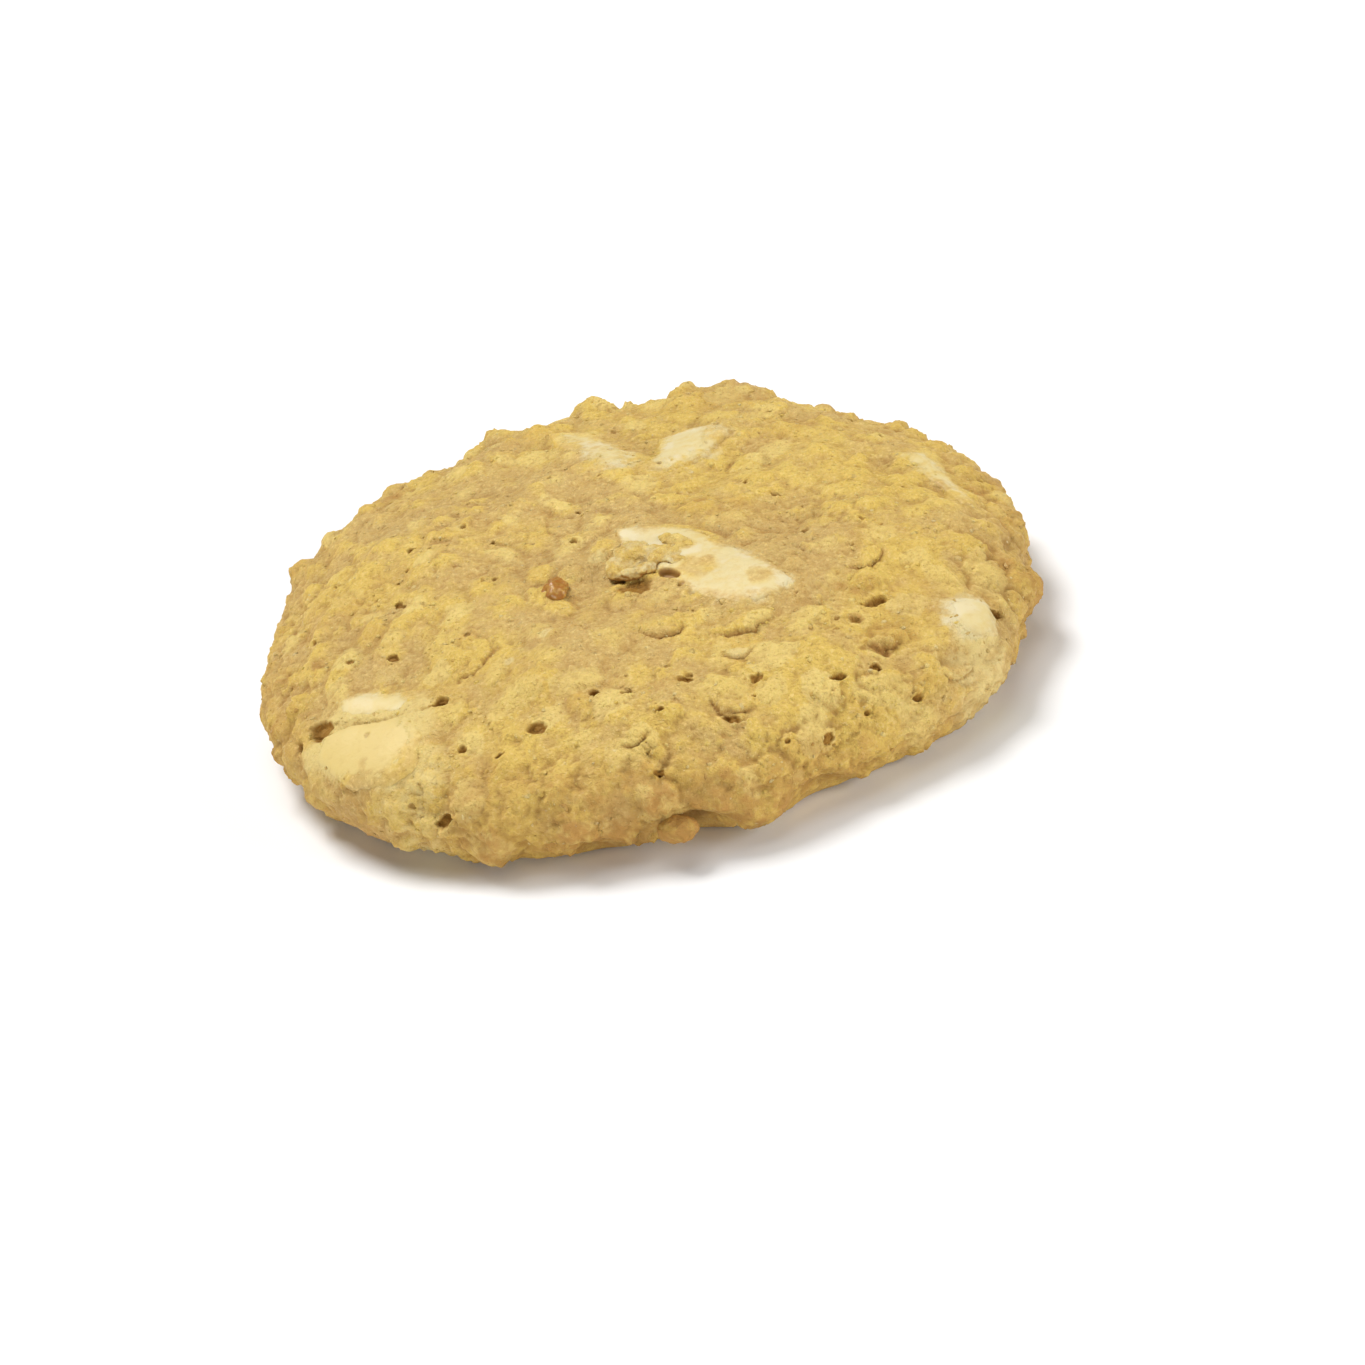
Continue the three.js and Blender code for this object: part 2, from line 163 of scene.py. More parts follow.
# Holes of the crust: x, y, length, width, depth, heading.
PITS = [
    (-32.5, -17.2, 3.8, 2.8, 1.7, -30), (-35.3, -16.5, 1.8, 1.2, 0.9, -60),
    (-12.1, -29.2, 2.2, 1.7, 1.2, -10), (-20.8, -21.2, 1.9, 1.4, 1.1, -20),
    (-24.8, -12.1, 1.3, 1.5, 1.1, 60), (-29.2, -9.8, 1.3, 0.8, 0.8, 10),
    (-23.4, -3.1, 1.1, 1.9, 1, 40), (-21.4, 6.3, 1, 1.2, 0.9, 0),
    (-6, -27.1, 1.4, 1.2, 1.1, 25), (-3, -28.2, 1, 1.1, 0.8, 70),
    (-0.3, -32, 1.1, 0.9, 0.9, -15), (2.7, -28, 2.1, 1, 1, -12),
    (9.5, -29.3, 1.6, 1.2, 1, -10), (17.2, -30.4, 1.9, 0.8, 0.9, -8),
    (20.6, -28.9, 1.2, 1, 1, 20), (-15.9, -30.6, 0.8, 1.1, 0.8, 80),
    (-19.5, -27.8, 1.4, 0.8, 0.8, 10), (-1.7, -38.1, 0.8, 1.4, 0.9, 85),
    (11.1, -36.4, 0.9, 0.9, 0.7, 20), (15.3, -36.1, 1.6, 1.5, 1.2, 40),
    (24.1, -30.9, 1.2, 1.1, 1, 30), (33, -20.2, 1.3, 2.6, 1.6, -65),
    (-22.6, -32.8, 1.3, 2.2, 1.3, 80), (-15.8, 7.9, 0.9, 0.6, 0.6, -40),
    (-4, 6.3, 1, 0.5, 0.7, -45), (-5.2, -0.1, 1, 0.6, 0.6, -20),
    (15.8, 1.9, 1.5, 0.6, 0.6, -10), (23.6, -6.8, 1.7, 0.7, 0.6, -30),
    (17.6, -6.8, 1.2, 0.7, 0.6, -25), (22.5, -19.3, 2.6, 1.1, 1.1, 15),
    (20.2, -22, 1.4, 1.2, 0.7, 0), (6.2, -33.6, 2.4, 1, 1.1, -25),
    (-13.5, -4, 0.8, 0.7, 0.6, 0), (3.5, -10.8, 3.4, 1.5, 2.4, -52), (-0.2, -11.4, 4.4, 3.4, 1, 0),
]
PIT_WALL = (0.5, 1.0)
PIT_RAGGEDNESS = 0.55
RAGGED_PIT_LENGTH = 1.3

# Small holes by rule. Width and depth are shares of the length, and none lies below a share of the rim.
SMALL_PIT_COUNT = 80
SMALL_PIT_SEED = 77
SMALL_PIT_LENGTH = (0.4, 1.0)
SMALL_PIT_ASPECT = (0.5, 0.9)
SMALL_PIT_DEPTH = (0.4, 0.8)
SMALL_PIT_TURN = 0.5
PITS_ABOVE = 0.4

# Films of dough on the chunks: x, y, length, width, heading, share.
DOUGH_SPOTS = [
    (7.3, -10.4, 2.2, 3, -20, 0.6), (11.9, -15, 3, 3.4, -30, 0.5), (6, -11, 5.2, 4.8, -40, 0.55),
    (5.2, -6, 5, 2.4, -47, 0.6), (5.6, -12.4, 1.4, 1, -20, 0.5), (8.6, -6.6, 2, 1.4, -50, 0.25),
    (-28, -24.6, 1.7, 1.3, 0, 0.35), (-25.5, -26.6, 1.3, 1.1, 0, 0.4),
]

# A crack between the two chunks at the front left and a crease at the back.
FRONT_CRACK = [(-31.0, -17.6), (-27.4, -19.8), (-23.7, -21.2), (-20.8, -21.3)]
FRONT_CRACK_WIDTH = 0.25
BACK_CREASE = [(13.2, 17.0), (9.7, 12.7), (6.2, 10.9), (4.0, 12.0)]
BACK_CREASE_WIDTH = 0.4
BACK_CREASE_SHARE = 0.6
CRACK_DEPTH = 0.25

# Lumps and soft hollows of the crust: x, y, length, width, heading, rise.
BUMPS = [
    (22.6, -24.2, 3, 2.8, 0, 0.9), (19, -23.8, 4.4, 3, -20, 0.5), (22.6, -16.4, 5.4, 3.2, 10, 0.8),
    (21.2, -26.2, 3.2, 2.2, 0, -0.8), (25.4, -28.6, 3, 2.6, 0, 0.6), (-18, -14.9, 6.4, 5, -10, 0.5),
    (-11.5, -24, 6, 4, 0, 0.4), (-32, -5, 4, 3.6, 0, 0.6), (1.6, -18.6, 4.6, 3.8, 0, 0.4),
    (-20.5, 1, 4.6, 4, 0, 0.4),
]

# Where the oats show more or less through the dough: x, y, reach, share.
OAT_AREAS = [
    (-14.3, -31.5, 8, 0.4), (-18, -16.8, 5, 0.5), (26.7, -3, 9, 0.35), (20, 8, 9, 0.25),
    (22.6, -24.2, 3, 0.7), (24, -20, 6, 0.3), (10.4, -36.3, 9, 0.35), (18, -32, 6, 0.45),
    (-0.1, -26.4, 3, 0.35), (15, -13.5, 5, -0.35), (-3.5, -3.6, 6, -0.35), (-11.8, -10.5, 6, -0.2),
    (31.1, -25.2, 6, -0.6), (-3, 13, 8, -0.2),
]

# Where the crust is pale, and where it is made browner or less brown, which at the front is painted shade
# and painted light as well: x, y, reach, share.
PALE_AREAS = [
    (30.6, -25.2, 3.5, 0.6), (28, -28, 3, 0.35), (-24, -28.2, 4.5, 0.6),
    (-26.2, -14.7, 3, 0.25), (13.8, 20.6, 3.2, 0.2),
]
TOAST_AND_SHADE_AREAS = [
    (37.5, -13.5, 3, 0.12), (-38.9, -4.6, 2.5, 0.4), (22.6, -24.2, 2, 0.45), (-10, -39.2, 3.5, 0.35),
    (4, -40.6, 3, 0.45), (9.5, -40, 3, 0.5), (14.5, -38.4, 3, 0.3), (14, 30, 6, 0.25),
    (20, -32, 6, -0.35), (9, -35, 5, -0.35), (39.4, -5.8, 2.5, 0.4), (-8.9, -25.9, 3, 0.25),
    (25.1, -19.9, 3, 0.3), (-28.4, -0.1, 3, 0.3), (-19.6, -32.3, 3.5, 0.3), (-24.8, 24.1, 3, 0.35),
]

# Pale grains and browned spots of the crust, in the same terms as the films.
PALE_SPOTS = [
    (8.2, -25.2, 2.8, 1.3, 5, 1), (-13.5, -19, 1.6, 1.4, 0, 1), (-9.4, -16.9, 2.4, 1.4, 10, 1),
    (-3, -3.9, 2.4, 2, 0, 1), (-30.5, -21.5, 3, 2, 30, 1), (14.2, -16.4, 2.8, 2.2, -30, 1),
]
BROWN_SPOTS = [
    (20.2, -21.8, 1.8, 1.6, 0, 0.8), (21.6, -17.6, 3.4, 2.2, 20, 0.8), (19.5, -17, 2.2, 1.6, 0, 0.8),
    (-32.6, -7.2, 2.2, 2, 0, 0.8), (-36.8, -5, 2.4, 2.6, 0, 0.8), (8.2, 2.6, 2.4, 2, 0, 0.8),
    (-23, 25.1, 3.6, 3, 0, 0.8), (36.6, 2.6, 2.8, 2.6, 0, 0.8), (35.6, -12.4, 3, 3, 0, 0.8),
]

# Rolled oats whose edge stands clear of the crust: x, y, length, width, heading of that edge, its rise.
PLATES = [
    (8.8, -20.7, 6.4, 4, -78, 1.1), (-17.4, -16.6, 5.6, 4.2, -50, 0.6), (8.2, -24.6, 3.4, 2.2, -85, 0.5),
    (-3.5, -34.2, 3, 3, -80, 0.5), (7, -31.2, 4.4, 3.8, -110, 0.7), (22, -12.8, 4.6, 3.8, -60, 0.8),
    (21.4, -24.6, 3.4, 3, -70, 0.6), (27.4, -27, 3.8, 3.2, -60, 0.6), (1.6, -18.8, 4.4, 3.4, -90, 0.6),
    (-7.6, -17.6, 3.8, 2.8, 60, 0.4),
]
PLATE_RAGGEDNESS = 0.24
PLATE_RISE_SHARE = 0.5
PLATE_REACH = 0.8
PLATE_SLOPE = (-0.7, 0.8)
PLATE_EDGE = (0.88, 1.0)
CRACK_FROM = (0.93, 1.0)
CRACK_TO = (1.04, 1.22)
CRACK_FRONT = (0.2, 0.8)
CRACK_BREAKS = (-0.35, 0.25)
FULL_CRACK_RISE = 0.5

# Smaller ones by rule, all under a rise. The spread of their azimuths is in radians.
SMALL_PLATE_COUNT = 26
SMALL_PLATE_SEED = 905
SMALL_PLATE_LENGTH = (2.6, 5.2)
SMALL_PLATE_ASPECT = (0.6, 0.9)
SMALL_PLATE_RISE = (0.1, 0.3)
SMALL_PLATE_UNDER = 0.35
SMALL_PLATE_SPREAD = 0.15
PLATES_ABOVE = 0.5

# The clump of oats over the middle chunk: x, y, heading, length, width, depth, rise of its middle, lean.
CLUMP = [
    (0.5, -5.7, -30, 4.4, 2.6, 1.9, 0.5, 0), (0.9, -4.3, -40, 3, 2.4, 1.2, 0.4, 0),
    (-1.6, -6.6, 30, 2.2, 2, 1.5, 0.4, 0), (0.3, -7.6, 0, 4, 3.4, 1.2, 0.15, 0),
    (3.6, -7.2, -25, 4.8, 3.2, 1, 0.35, -6), (5, -9, -40, 3, 2, 0.8, 0.15, -8),
    (5.1, -5.2, -47, 5.2, 1.9, 0.8, 0.22, 0),
]
BARE_FLAKE = (5.1, -5.2)
BARE_SPAN = (1.2, 3.2)
CLUMP_GRID = 0.12
CLUMP_BEND = (1.0, 2, 83)
CLUMP_NOISE = (1.7, 95)
LUMP_LEVEL = 4
LIP_LEVEL = 3
HANGING_LEVEL = 5

# Roughness of each lump, coarse and fine, its two noises, and the depth at which a dent's painted shade is
# full.
CLUMP_ROUGHNESS = (0.15, 0.12)
HANGING_ROUGHNESS = (0.32, 0.14)
TOASTED_ROUGHNESS = (0.5, 0.24)
COARSE_ROUGH = (2.2, 2, 71)
FINE_ROUGH = (0.7, 2, 73)
DENT_DEPTH = 0.12

# The clump's curled lip, as a row of lumps on an arc, and two lumps on their own.
LIP_CENTRE = (0.3, -7.6)
LIP_RADIUS = 2.2
LIP_AZIMUTHS = (165, 375)
LIP_COUNT = 14
LIP_THICKNESS = 1.15
LIP_STRETCH = 1.6
LIP_RISE = 0.6
TOASTED_BIT = (-7.8, -8.7, 60, 3.3, 2.9, 1.7, 0.0, 0)
HANGING_LUMP = {"azimuth": -91.5, "radius": 39.0, "z": 3.6, "length": 3.9, "depth": 3.6, "height": 2.3}

# Loose crumbs baked on to the crust.
CRUMB_COUNT = 5000
CRUMB_SEED = 318
CRUMB_SIZE = (0.22, 0.75)
CRUMB_LEVEL = 1
CRUMB_DENTS = (0.65, 1.2)
CRUMB_STRETCH = (0.7, 1.3)
CRUMB_FLATNESS = 0.6
CRUMB_SINK = 0.15

# Spacing of the mesh, and margins within which it is split finer.
TOP_SPACING = 0.39
UNDERSIDE_SPACING = 1.2
UNDERSIDE_GROWTH = 1.25
ROW_SHARE = 0.87
RING_TURN = 0.618
POLE_MARGIN = 0.5
PIT_MARGINS = (0.9, 0.5)
PLATE_MARGIN = 0.18
CHUNK_MARGIN = 0.3

# Noises over the crust: wavelength, octaves, seed. Those of knobs and lumps: size, seed.
NOISES = [(7.0, 2, 3), (1.6, 2, 21), (0.8, 2, 5), (0.7, 2, 45), (3.6, 2, 61), (11.0, 3, 51), (6.0, 3, 57)]
KNOB_NOISES = [(4.6, 31), (2.7, 37), (1.15, 43)]
KNOB_LEVEL = 0.2
LUMP_NOISE = (3.4, 91)
GRIT_NOISE = (1.5, 93)
LUMP_BEND = 0.5
LUMP_CREASE = 0.45

# Rise of each layer of the crust.
BED_RISE = 0.12
BED_WAVE = 0.2
FLAKE_SHARE = 0.6
FLAKE_SINK = 0.25
COARSE_RISE = 0.3
PLATE_GAP = 0.15
LUMP_RISE = 0.58
GRIT_RISE = 0.24
LUMP_SINK = 0.33
LUMP_SHARE = 0.82
KNOB_RISE = 0.3
GRAIN_RISE = 0.12
RIM_RISES = (0.4, 0.3, 0.5)
WOBBLE_RISE = 0.07
FINE_RISE = 0.06
FACE_COARSE_RISE = 0.12
FACE_WOBBLE_RISE = 0.05
PIT_SHARE = 0.6
PIT_DEPTH_SHARE = 0.75

# Shares of the radius, depths and heights between which the crust changes in relief and colour.
KNOBBLY_RIM = (0.78, 0.95)
TOASTED_RIM = (0.86, 0.99)
# The toast grows towards the front as painted shade, and towards the foot as browning and painted shade
# together.
SHADED_FRONT = (20, -20)
TOASTED_AND_SHADED_FOOT = (6.5, 1.5)
FLAKE_COVER = (0.05, 0.5)
NEAR_SHADE_DEPTH = 0.2
FAR_SHADE_DEPTH = 0.5
BROWN_AND_SHADED_PIT_DEPTH = 0.5
CREST_HEIGHT = 0.4
UNDERSIDE_BELOW = -0.95
UNDERSIDE_TOAST = 0.75

# Rounds of smoothing.
COVER_ROUNDS = 8
NEAR_ROUNDS = 3
FAR_ROUNDS = 20
SEAT_ROUNDS = 12
DENT_ROUNDS = 4


def ease(low, high, value):
    """0 up to low and 1 from high on, eased between. It falls where low is the larger."""
    share = np.clip((value - low) / (high - low), 0.0, 1.0)
    return share * share * (3.0 - 2.0 * share)


def between(span, share):
    return span[0] * (1 - share) + span[1] * share


def cos_sin(degrees):
    angle = math.radians(degrees)
    return math.cos(angle), math.sin(angle)


def make_random(seed):
    """Numbers from 0 to 1, drawn as in the solids."""
    modulus = 2147483647
    state = seed
    while True:
        state = (state * 16807) % modulus
        yield state / modulus


GRADIENTS = np.array(
    [(x, y, 0) for x in (-1, 1) for y in (-1, 1)]
    + [(x, 0, z) for x in (-1, 1) for z in (-1, 1)]
    + [(0, y, z) for y in (-1, 1) for z in (-1, 1)]
    + [(1, 1, 0), (-1, 1, 0), (0, -1, 1), (0, -1, -1)],
    dtype=float,
)
OCTAVE_SHIFT = 13.7
TEN_BITS = 1023


def scrambled(key, seed):
    """A whole number of 32 bits for each cell of a grid, as if drawn at random."""
    code = key[:, 0] * 73856093 ^ key[:, 1] * 19349663 ^ key[:, 2] * 83492791 ^ (seed * 2654435761)
    code = (code ^ (code >> 13)) * 1274126177 & 0xFFFFFFFF
    return code ^ (code >> 16)


def gradient_noise(points, seed):
    """Smooth noise from about -1 to 1, with one cell per unit."""
    cell = np.floor(points).astype(np.int64)
    local = points - cell
    fade = local**3 * (local * (local * 6 - 15) + 10)
    total = np.zeros(len(points))
    for corner in np.ndindex(2, 2, 2):
        slope = GRADIENTS[scrambled(cell + corner, seed) & 15]
        weight = np.prod(np.where(corner, fade, 1 - fade), axis=1)
        total += weight * np.sum(slope * (local - corner), axis=1)
    return total


def fractal(points, wavelength, octaves, seed):
    total = np.zeros(len(points))
    for octave in range(octaves):
        scaled = points * 2**octave / wavelength + OCTAVE_SHIFT * octave
        total += gradient_noise(scaled, seed + octave) / 2**octave
    return total


def knob_noise(points, size, seed):
    return np.abs(gradient_noise(points / size, seed)) - KNOB_LEVEL


def cell_lumps(points, size, seed):
    """Lumps about one size apart: how far each point is inside its lump, and the lump's number."""
    scaled = points / size
    cell = np.floor(scaled).astype(np.int64)
    nearest = np.full(len(points), np.inf)
    second = np.full(len(points), np.inf)
    number = np.zeros(len(points))
    for corner in np.ndindex(3, 3, 3):
        key = cell + corner - 1
        code = scrambled(key, seed)
        centre = key + np.stack([(code >> shift) & TEN_BITS for shift in (0, 10, 20)], -1) / TEN_BITS
        apart = np.linalg.norm(scaled - centre, axis=1)
        closer = apart < nearest
        second = np.where(closer, nearest, np.minimum(second, apart))
        nearest = np.where(closer, apart, nearest)
        number = np.where(closer, (scrambled(key, seed + 7) & TEN_BITS) / TEN_BITS, number)
    return ease(0.0, LUMP_CREASE, second - nearest), number


def make_profile():
    """The section from the top's middle round the rim to the underside's middle."""
    crown = np.sin(np.linspace(0, math.pi / 2, CROWN_STEPS + 1))
    height = RIM_HEIGHT + (CROWN_HEIGHT - RIM_HEIGHT) * np.sqrt(np.clip(1 - crown**CROWN_POWER, 0, None))
    roll = np.linspace(0, math.pi / 2, ROLL_STEPS + 1)[1:]
    inward = np.linspace(0, 1, ROLL_STEPS + 1)[1:]
    rolled = FOOT_SHARE + (1 - FOOT_SHARE) * np.cos(roll)
    share = np.concatenate([crown, rolled, FOOT_SHARE * (1 - inward)])
    z = np.concatenate([height, RIM_HEIGHT * (1 - np.sin(roll)), np.zeros(ROLL_STEPS)])
    radius = RADIUS * share
    step = np.hypot(np.diff(radius), np.diff(z))
    arc = np.concatenate([[0], np.cumsum(step)])
    area = np.concatenate([[0], np.cumsum(step * (radius[1:] + radius[:-1]) / 2)])
    normal = np.stack([-np.gradient(z), np.gradient(radius)], -1)
    across, upward = (normal / np.linalg.norm(normal, axis=1, keepdims=True)).T
    return {"share": share, "z": z, "arc": arc, "area": area, "across": across, "upward": upward}


PROFILE = make_profile()
TO_RIM = slice(0, CROWN_STEPS + 1)
TO_FOOT = slice(0, CROWN_STEPS + ROLL_STEPS + 1)
FOOT_ARC = PROFILE["arc"][TO_FOOT][-1]


def on_profile(arc, name):
    return np.interp(arc, PROFILE["arc"], PROFILE[name])


def arc_on_top(share):
    return np.interp(share, PROFILE["share"][TO_RIM], PROFILE["arc"][TO_RIM])


def arc_at_height(z):
    return np.interp(-np.asarray(z), -PROFILE["z"][TO_FOOT], PROFILE["arc"][TO_FOOT])


def arc_at_area(area):
    return np.interp(area, PROFILE["area"], PROFILE["arc"])


def area_above(share):
    """Area of the form above a share of the rim's height."""
    return on_profile(arc_at_height(RIM_HEIGHT * share), "area")


def surface_at(azimuth, arc):
    """Points of the smooth form, with their share of the radius and outward normals."""
    azimuth = np.atleast_1d(np.asarray(azimuth, float))
    arc = np.atleast_1d(np.asarray(arc, float))
    share = on_profile(arc, "share")
    across, upward = on_profile(arc, "across"), on_profile(arc, "upward")
    size = np.hypot(across, upward)
    outward = np.stack([np.cos(azimuth), np.sin(azimuth), np.zeros_like(azimuth)], -1)
    point = outward * (RADIUS * share)[:, None]
    point[:, 2] = on_profile(arc, "z")
    normal = outward * (across / size)[:, None]
    normal[:, 2] = upward / size
    return {"azimuth": azimuth, "share": share, "point": point, "normal": normal, "outward": outward}


def place_on_top(x, y, heading):
    """One place seen from above, with axes along a heading, across it and outwards."""
    found = surface_at(math.atan2(y, x), arc_on_top(math.hypot(x, y) / RADIUS))
    point, normal = found["point"][0], found["normal"][0]
    along = np.array([*cos_sin(heading), 0.0])
    along -= normal * (along @ normal)
    along /= np.linalg.norm(along)
    return {"point": point, "normal": normal, "along": along, "across": np.cross(normal, along)}


def place_at(azimuth, arc, turn):
    """One place of the form, with axes turned by an angle from the way round it."""
    found = surface_at(azimuth, arc)
    point, normal = found["point"][0], found["normal"][0]
    around = np.array([-math.sin(azimuth), math.cos(azimuth), 0.0])
    along = around * math.cos(turn) + np.cross(normal, around) * math.sin(turn)
    return {"point": point, "normal": normal, "along": along, "across": np.cross(normal, along)}


def close_to(points, place, reach):
    """Indices of the points within a reach of a place."""
    return np.nonzero(np.linalg.norm(points - place["point"], axis=1) < reach)[0]


def oval_reach(points, place, length, width):
    """How far points lie from the middle of an oval, where 1 is on the oval."""
    offset = points - place["point"]
    return np.hypot(offset @ place["along"] / (length / 2), offset @ place["across"] / (width / 2))


def rim_lumps(points, lumps):
    rise = np.zeros(len(points))
    for azimuth, z, reach, height in lumps:
        centre = surface_at(math.radians(azimuth), arc_at_height(z))["point"][0]
        apart = np.linalg.norm(points - centre, axis=1) / reach
        rise += np.where(apart < 1, height * (1 - np.minimum(apart, 1) ** 2) ** 2, 0)
    return rise


def area_field(points, areas):
    """Wide, soft patches of the top, each with its share in the middle."""
    field = np.zeros(len(points))
    for x, y, reach, share in areas:
        apart = np.hypot(points[:, 0] - x, points[:, 1] - y) / reach
        field += share * np.exp(-apart * apart)
    return field


def large_relief(place):
    """Rise along the normal and swell outwards that the solids have too, without the flakes."""
    points = place["point"]
    swell = np.zeros(len(points))
    degrees = np.degrees(place["azimuth"])
    for azimuth, spread, rise in RIM_SWELLS:
        apart = np.abs((degrees - azimuth + 540) % 360 - 180) / spread
        swell += rise * np.exp(-apart * apart)
    swell *= ease(RIM_SWELL_FROM, RIM_SWELL_FULL, place["share"])
    rise = np.where(place["normal"][:, 2] > 0, area_field(points, TOP_SWELLS), 0)
    for height, length, heading, phase in WAVES:
        cosine, sine = cos_sin(heading)
        run = points[:, 0] * cosine + points[:, 1] * sine
        rise += height * np.sin(run / length * TURN + phase)
    rise *= ease(0, RELIEF_FADE, points[:, 2])
    return rise + rim_lumps(points, LUMPS), swell


def ring_ends(ring):
    """The azimuth where each step round a ring ends."""
    return np.append(ring[1:], ring[0] + TURN) if len(ring) > 1 else []


def ring_mesh():
    """A mesh of rings whose points are evenly spaced, closed at both poles."""
    rows = np.linspace(0, FOOT_ARC, int(FOOT_ARC / (TOP_SPACING * ROW_SHARE)))
    arcs = [(arc, TOP_SPACING) for arc in rows]
    arc, spacing, last = FOOT_ARC, TOP_SPACING, PROFILE["arc"][-1]
    while True:
        spacing = min(spacing * UNDERSIDE_GROWTH, UNDERSIDE_SPACING)
        arc += spacing * ROW_SHARE
        if arc > last - POLE_MARGIN:
            break
        arcs.append((arc, spacing))
    arcs.append((last, UNDERSIDE_SPACING))
    rings, positions = [], []
    count = 0
    for index, (arc, spacing) in enumerate(arcs):
        size = max(1, round(TURN * (RADIUS * on_profile(arc, "share")) / spacing))
        rings.append((count, (np.arange(size) + (index * RING_TURN) % 1) / size * TURN))
        positions.append(np.full(size, arc))
        count += size
    faces = []
    for (first_a, ring_a), (first_b, ring_b) in zip(rings, rings[1:]):
        ends_a, ends_b = ring_ends(ring_a), ring_ends(ring_b)
        on_a = np.argsort(np.concatenate([ends_b, ends_a]), kind="stable") >= len(ends_b)
        i, j = np.cumsum(on_a) - on_a, np.cumsum(~on_a) - ~on_a
        here_a, next_a = (first_a + step % len(ring_a) for step in (i, i + 1))
        here_b, next_b = (first_b + step % len(ring_b) for step in (j, j + 1))
        faces.append(np.stack([here_a, here_b, np.where(on_a, next_a, next_b)], -1))
    azimuths = np.concatenate([ring for first, ring in rings])
    return azimuths, np.concatenate(positions), np.concatenate(faces)


def neighbour_mean(values, faces, rounds):
    """Values smoothed over the mesh, each round by the mean of a vertex and its neighbours."""
    a = faces.ravel()
    b = faces[:, [1, 2, 0]].ravel()
    count = len(values)
    degree = np.bincount(a, minlength=count) + np.bincount(b, minlength=count) + 1
    for _ in range(rounds):
        total = values + np.bincount(a, values[b], count) + np.bincount(b, values[a], count)
        values = total / degree
    return values


def smoothed_points(vertices, faces, rounds):
    return np.stack([neighbour_mean(vertices[:, k], faces, rounds) for k in range(3)], -1)


def make_flakes():
    """The flakes of the solids, with the finer traits of each drawn from a second generator."""
    draw = make_random(FLAKE_SEED)
    traits = np.random.default_rng(FLAKE_SEED)
    lowest = area_above(FLAKES_ABOVE)
    flakes = []
    for index in range(FLAKE_COUNT):
        arc = arc_at_area((index + 0.5) / FLAKE_COUNT * lowest)
        flake = place_at(index * GOLDEN_ANGLE, arc, next(draw) * math.pi)
        flake["length"] = between(FLAKE_LENGTH, next(draw))
        flake["width"] = flake["length"] * between(FLAKE_ASPECT, next(draw))
        flake["lift"] = between(FLAKE_LIFT, next(draw))
        flake["tilt"] = (2 * next(draw) - 1) * FLAKE_TILT
        flake["tone"] = traits.random()
        flake["phases"] = traits.uniform(0, TURN, len(FLAKE_LOBES))
        flakes.append(flake)
    return flakes


def flake_field(points, flakes, bed):
    """Height of the flakes over a bed of dough, how much is flake, and each flake's tone."""
    height = bed.copy()
    cover = np.zeros(len(points))
    tone = np.zeros(len(points))
    for flake in flakes:
        near = close_to(points, flake, FLAKE_REACH * flake["length"])
        offset = points[near] - flake["point"]
        a = offset @ flake["along"] / (flake["length"] / 2)
        b = offset @ flake["across"] / (flake["width"] / 2)
        angle = np.arctan2(b, a)
        ragged = 1.0
        for (lobes, size), phase in zip(FLAKE_LOBES, flake["phases"]):
            ragged = ragged + size * np.sin(lobes * angle + phase)
        reach = np.hypot(a, b) * ragged
        edge = np.clip(1 - reach * reach, 0, 1) ** FLAKE_EDGE_POWER
        rise = (flake["lift"] + flake["tilt"] * a) * edge
        over = rise > height[near]
        chosen = near[over]
        height[chosen] = rise[over]
        cover[chosen] = edge[over]
        tone[chosen] = flake["tone"]
    return height, cover, tone


def make_pits():
    """Holes as listed and then by rule: place, length, width, depth."""
    pits = []
    for x, y, length, width, depth, heading in PITS:
        pits.append((place_on_top(x, y, heading), length, width, depth))
    draw = np.random.default_rng(SMALL_PIT_SEED)
    lowest = area_above(PITS_ABOVE)
    for _ in range(SMALL_PIT_COUNT):
        azimuth = draw.uniform(0, TURN)
        place = place_at(azimuth, arc_at_area(draw.random() * lowest), draw.normal(0, SMALL_PIT_TURN))
        length = draw.uniform(*SMALL_PIT_LENGTH)
        width = length * draw.uniform(*SMALL_PIT_ASPECT)
        pits.append((place, length, width, length * draw.uniform(*SMALL_PIT_DEPTH)))
    return pits


def pit_field(points, pits, wobble):
    depth = np.zeros(len(points))
    for place, length, width, deep in pits:
        near = close_to(points, place, length + width)
        ragged = PIT_RAGGEDNESS * wobble[near] * min(1, RAGGED_PIT_LENGTH / length) ** 2
        reach = oval_reach(points[near], place, length, width) + ragged
        depth[near] = np.maximum(depth[near], deep * (1 - ease(*PIT_WALL, reach)))
    return depth


def near_pits(points, pits, margin):
    near = np.zeros(len(points), bool)
    for place, length, width, deep in pits:
        close = close_to(points, place, length)
        near[close] |= oval_reach(points[close], place, length + margin, width + margin) < 1
    return near


def make_plates():
    """Oats with one edge standing clear of the crust, as listed and then by rule."""
    plates = []
    for x, y, length, width, heading, rise in PLATES:
        plates.append((place_on_top(x, y, heading), width, length, rise))
    draw = np.random.default_rng(SMALL_PLATE_SEED)
    lowest = area_above(PLATES_ABOVE)
    for index in range(SMALL_PLATE_COUNT):
        arc = arc_at_area((index + draw.uniform(0.2, 0.8)) / SMALL_PLATE_COUNT * lowest)
        azimuth = index * GOLDEN_ANGLE + draw.normal(0, SMALL_PLATE_SPREAD)
        place = place_at(azimuth, arc, draw.uniform(0, TURN))
        length = draw.uniform(*SMALL_PLATE_LENGTH)
        width = length * draw.uniform(*SMALL_PLATE_ASPECT)
        plates.append((place, width, length, draw.uniform(*SMALL_PLATE_RISE)))
    return plates


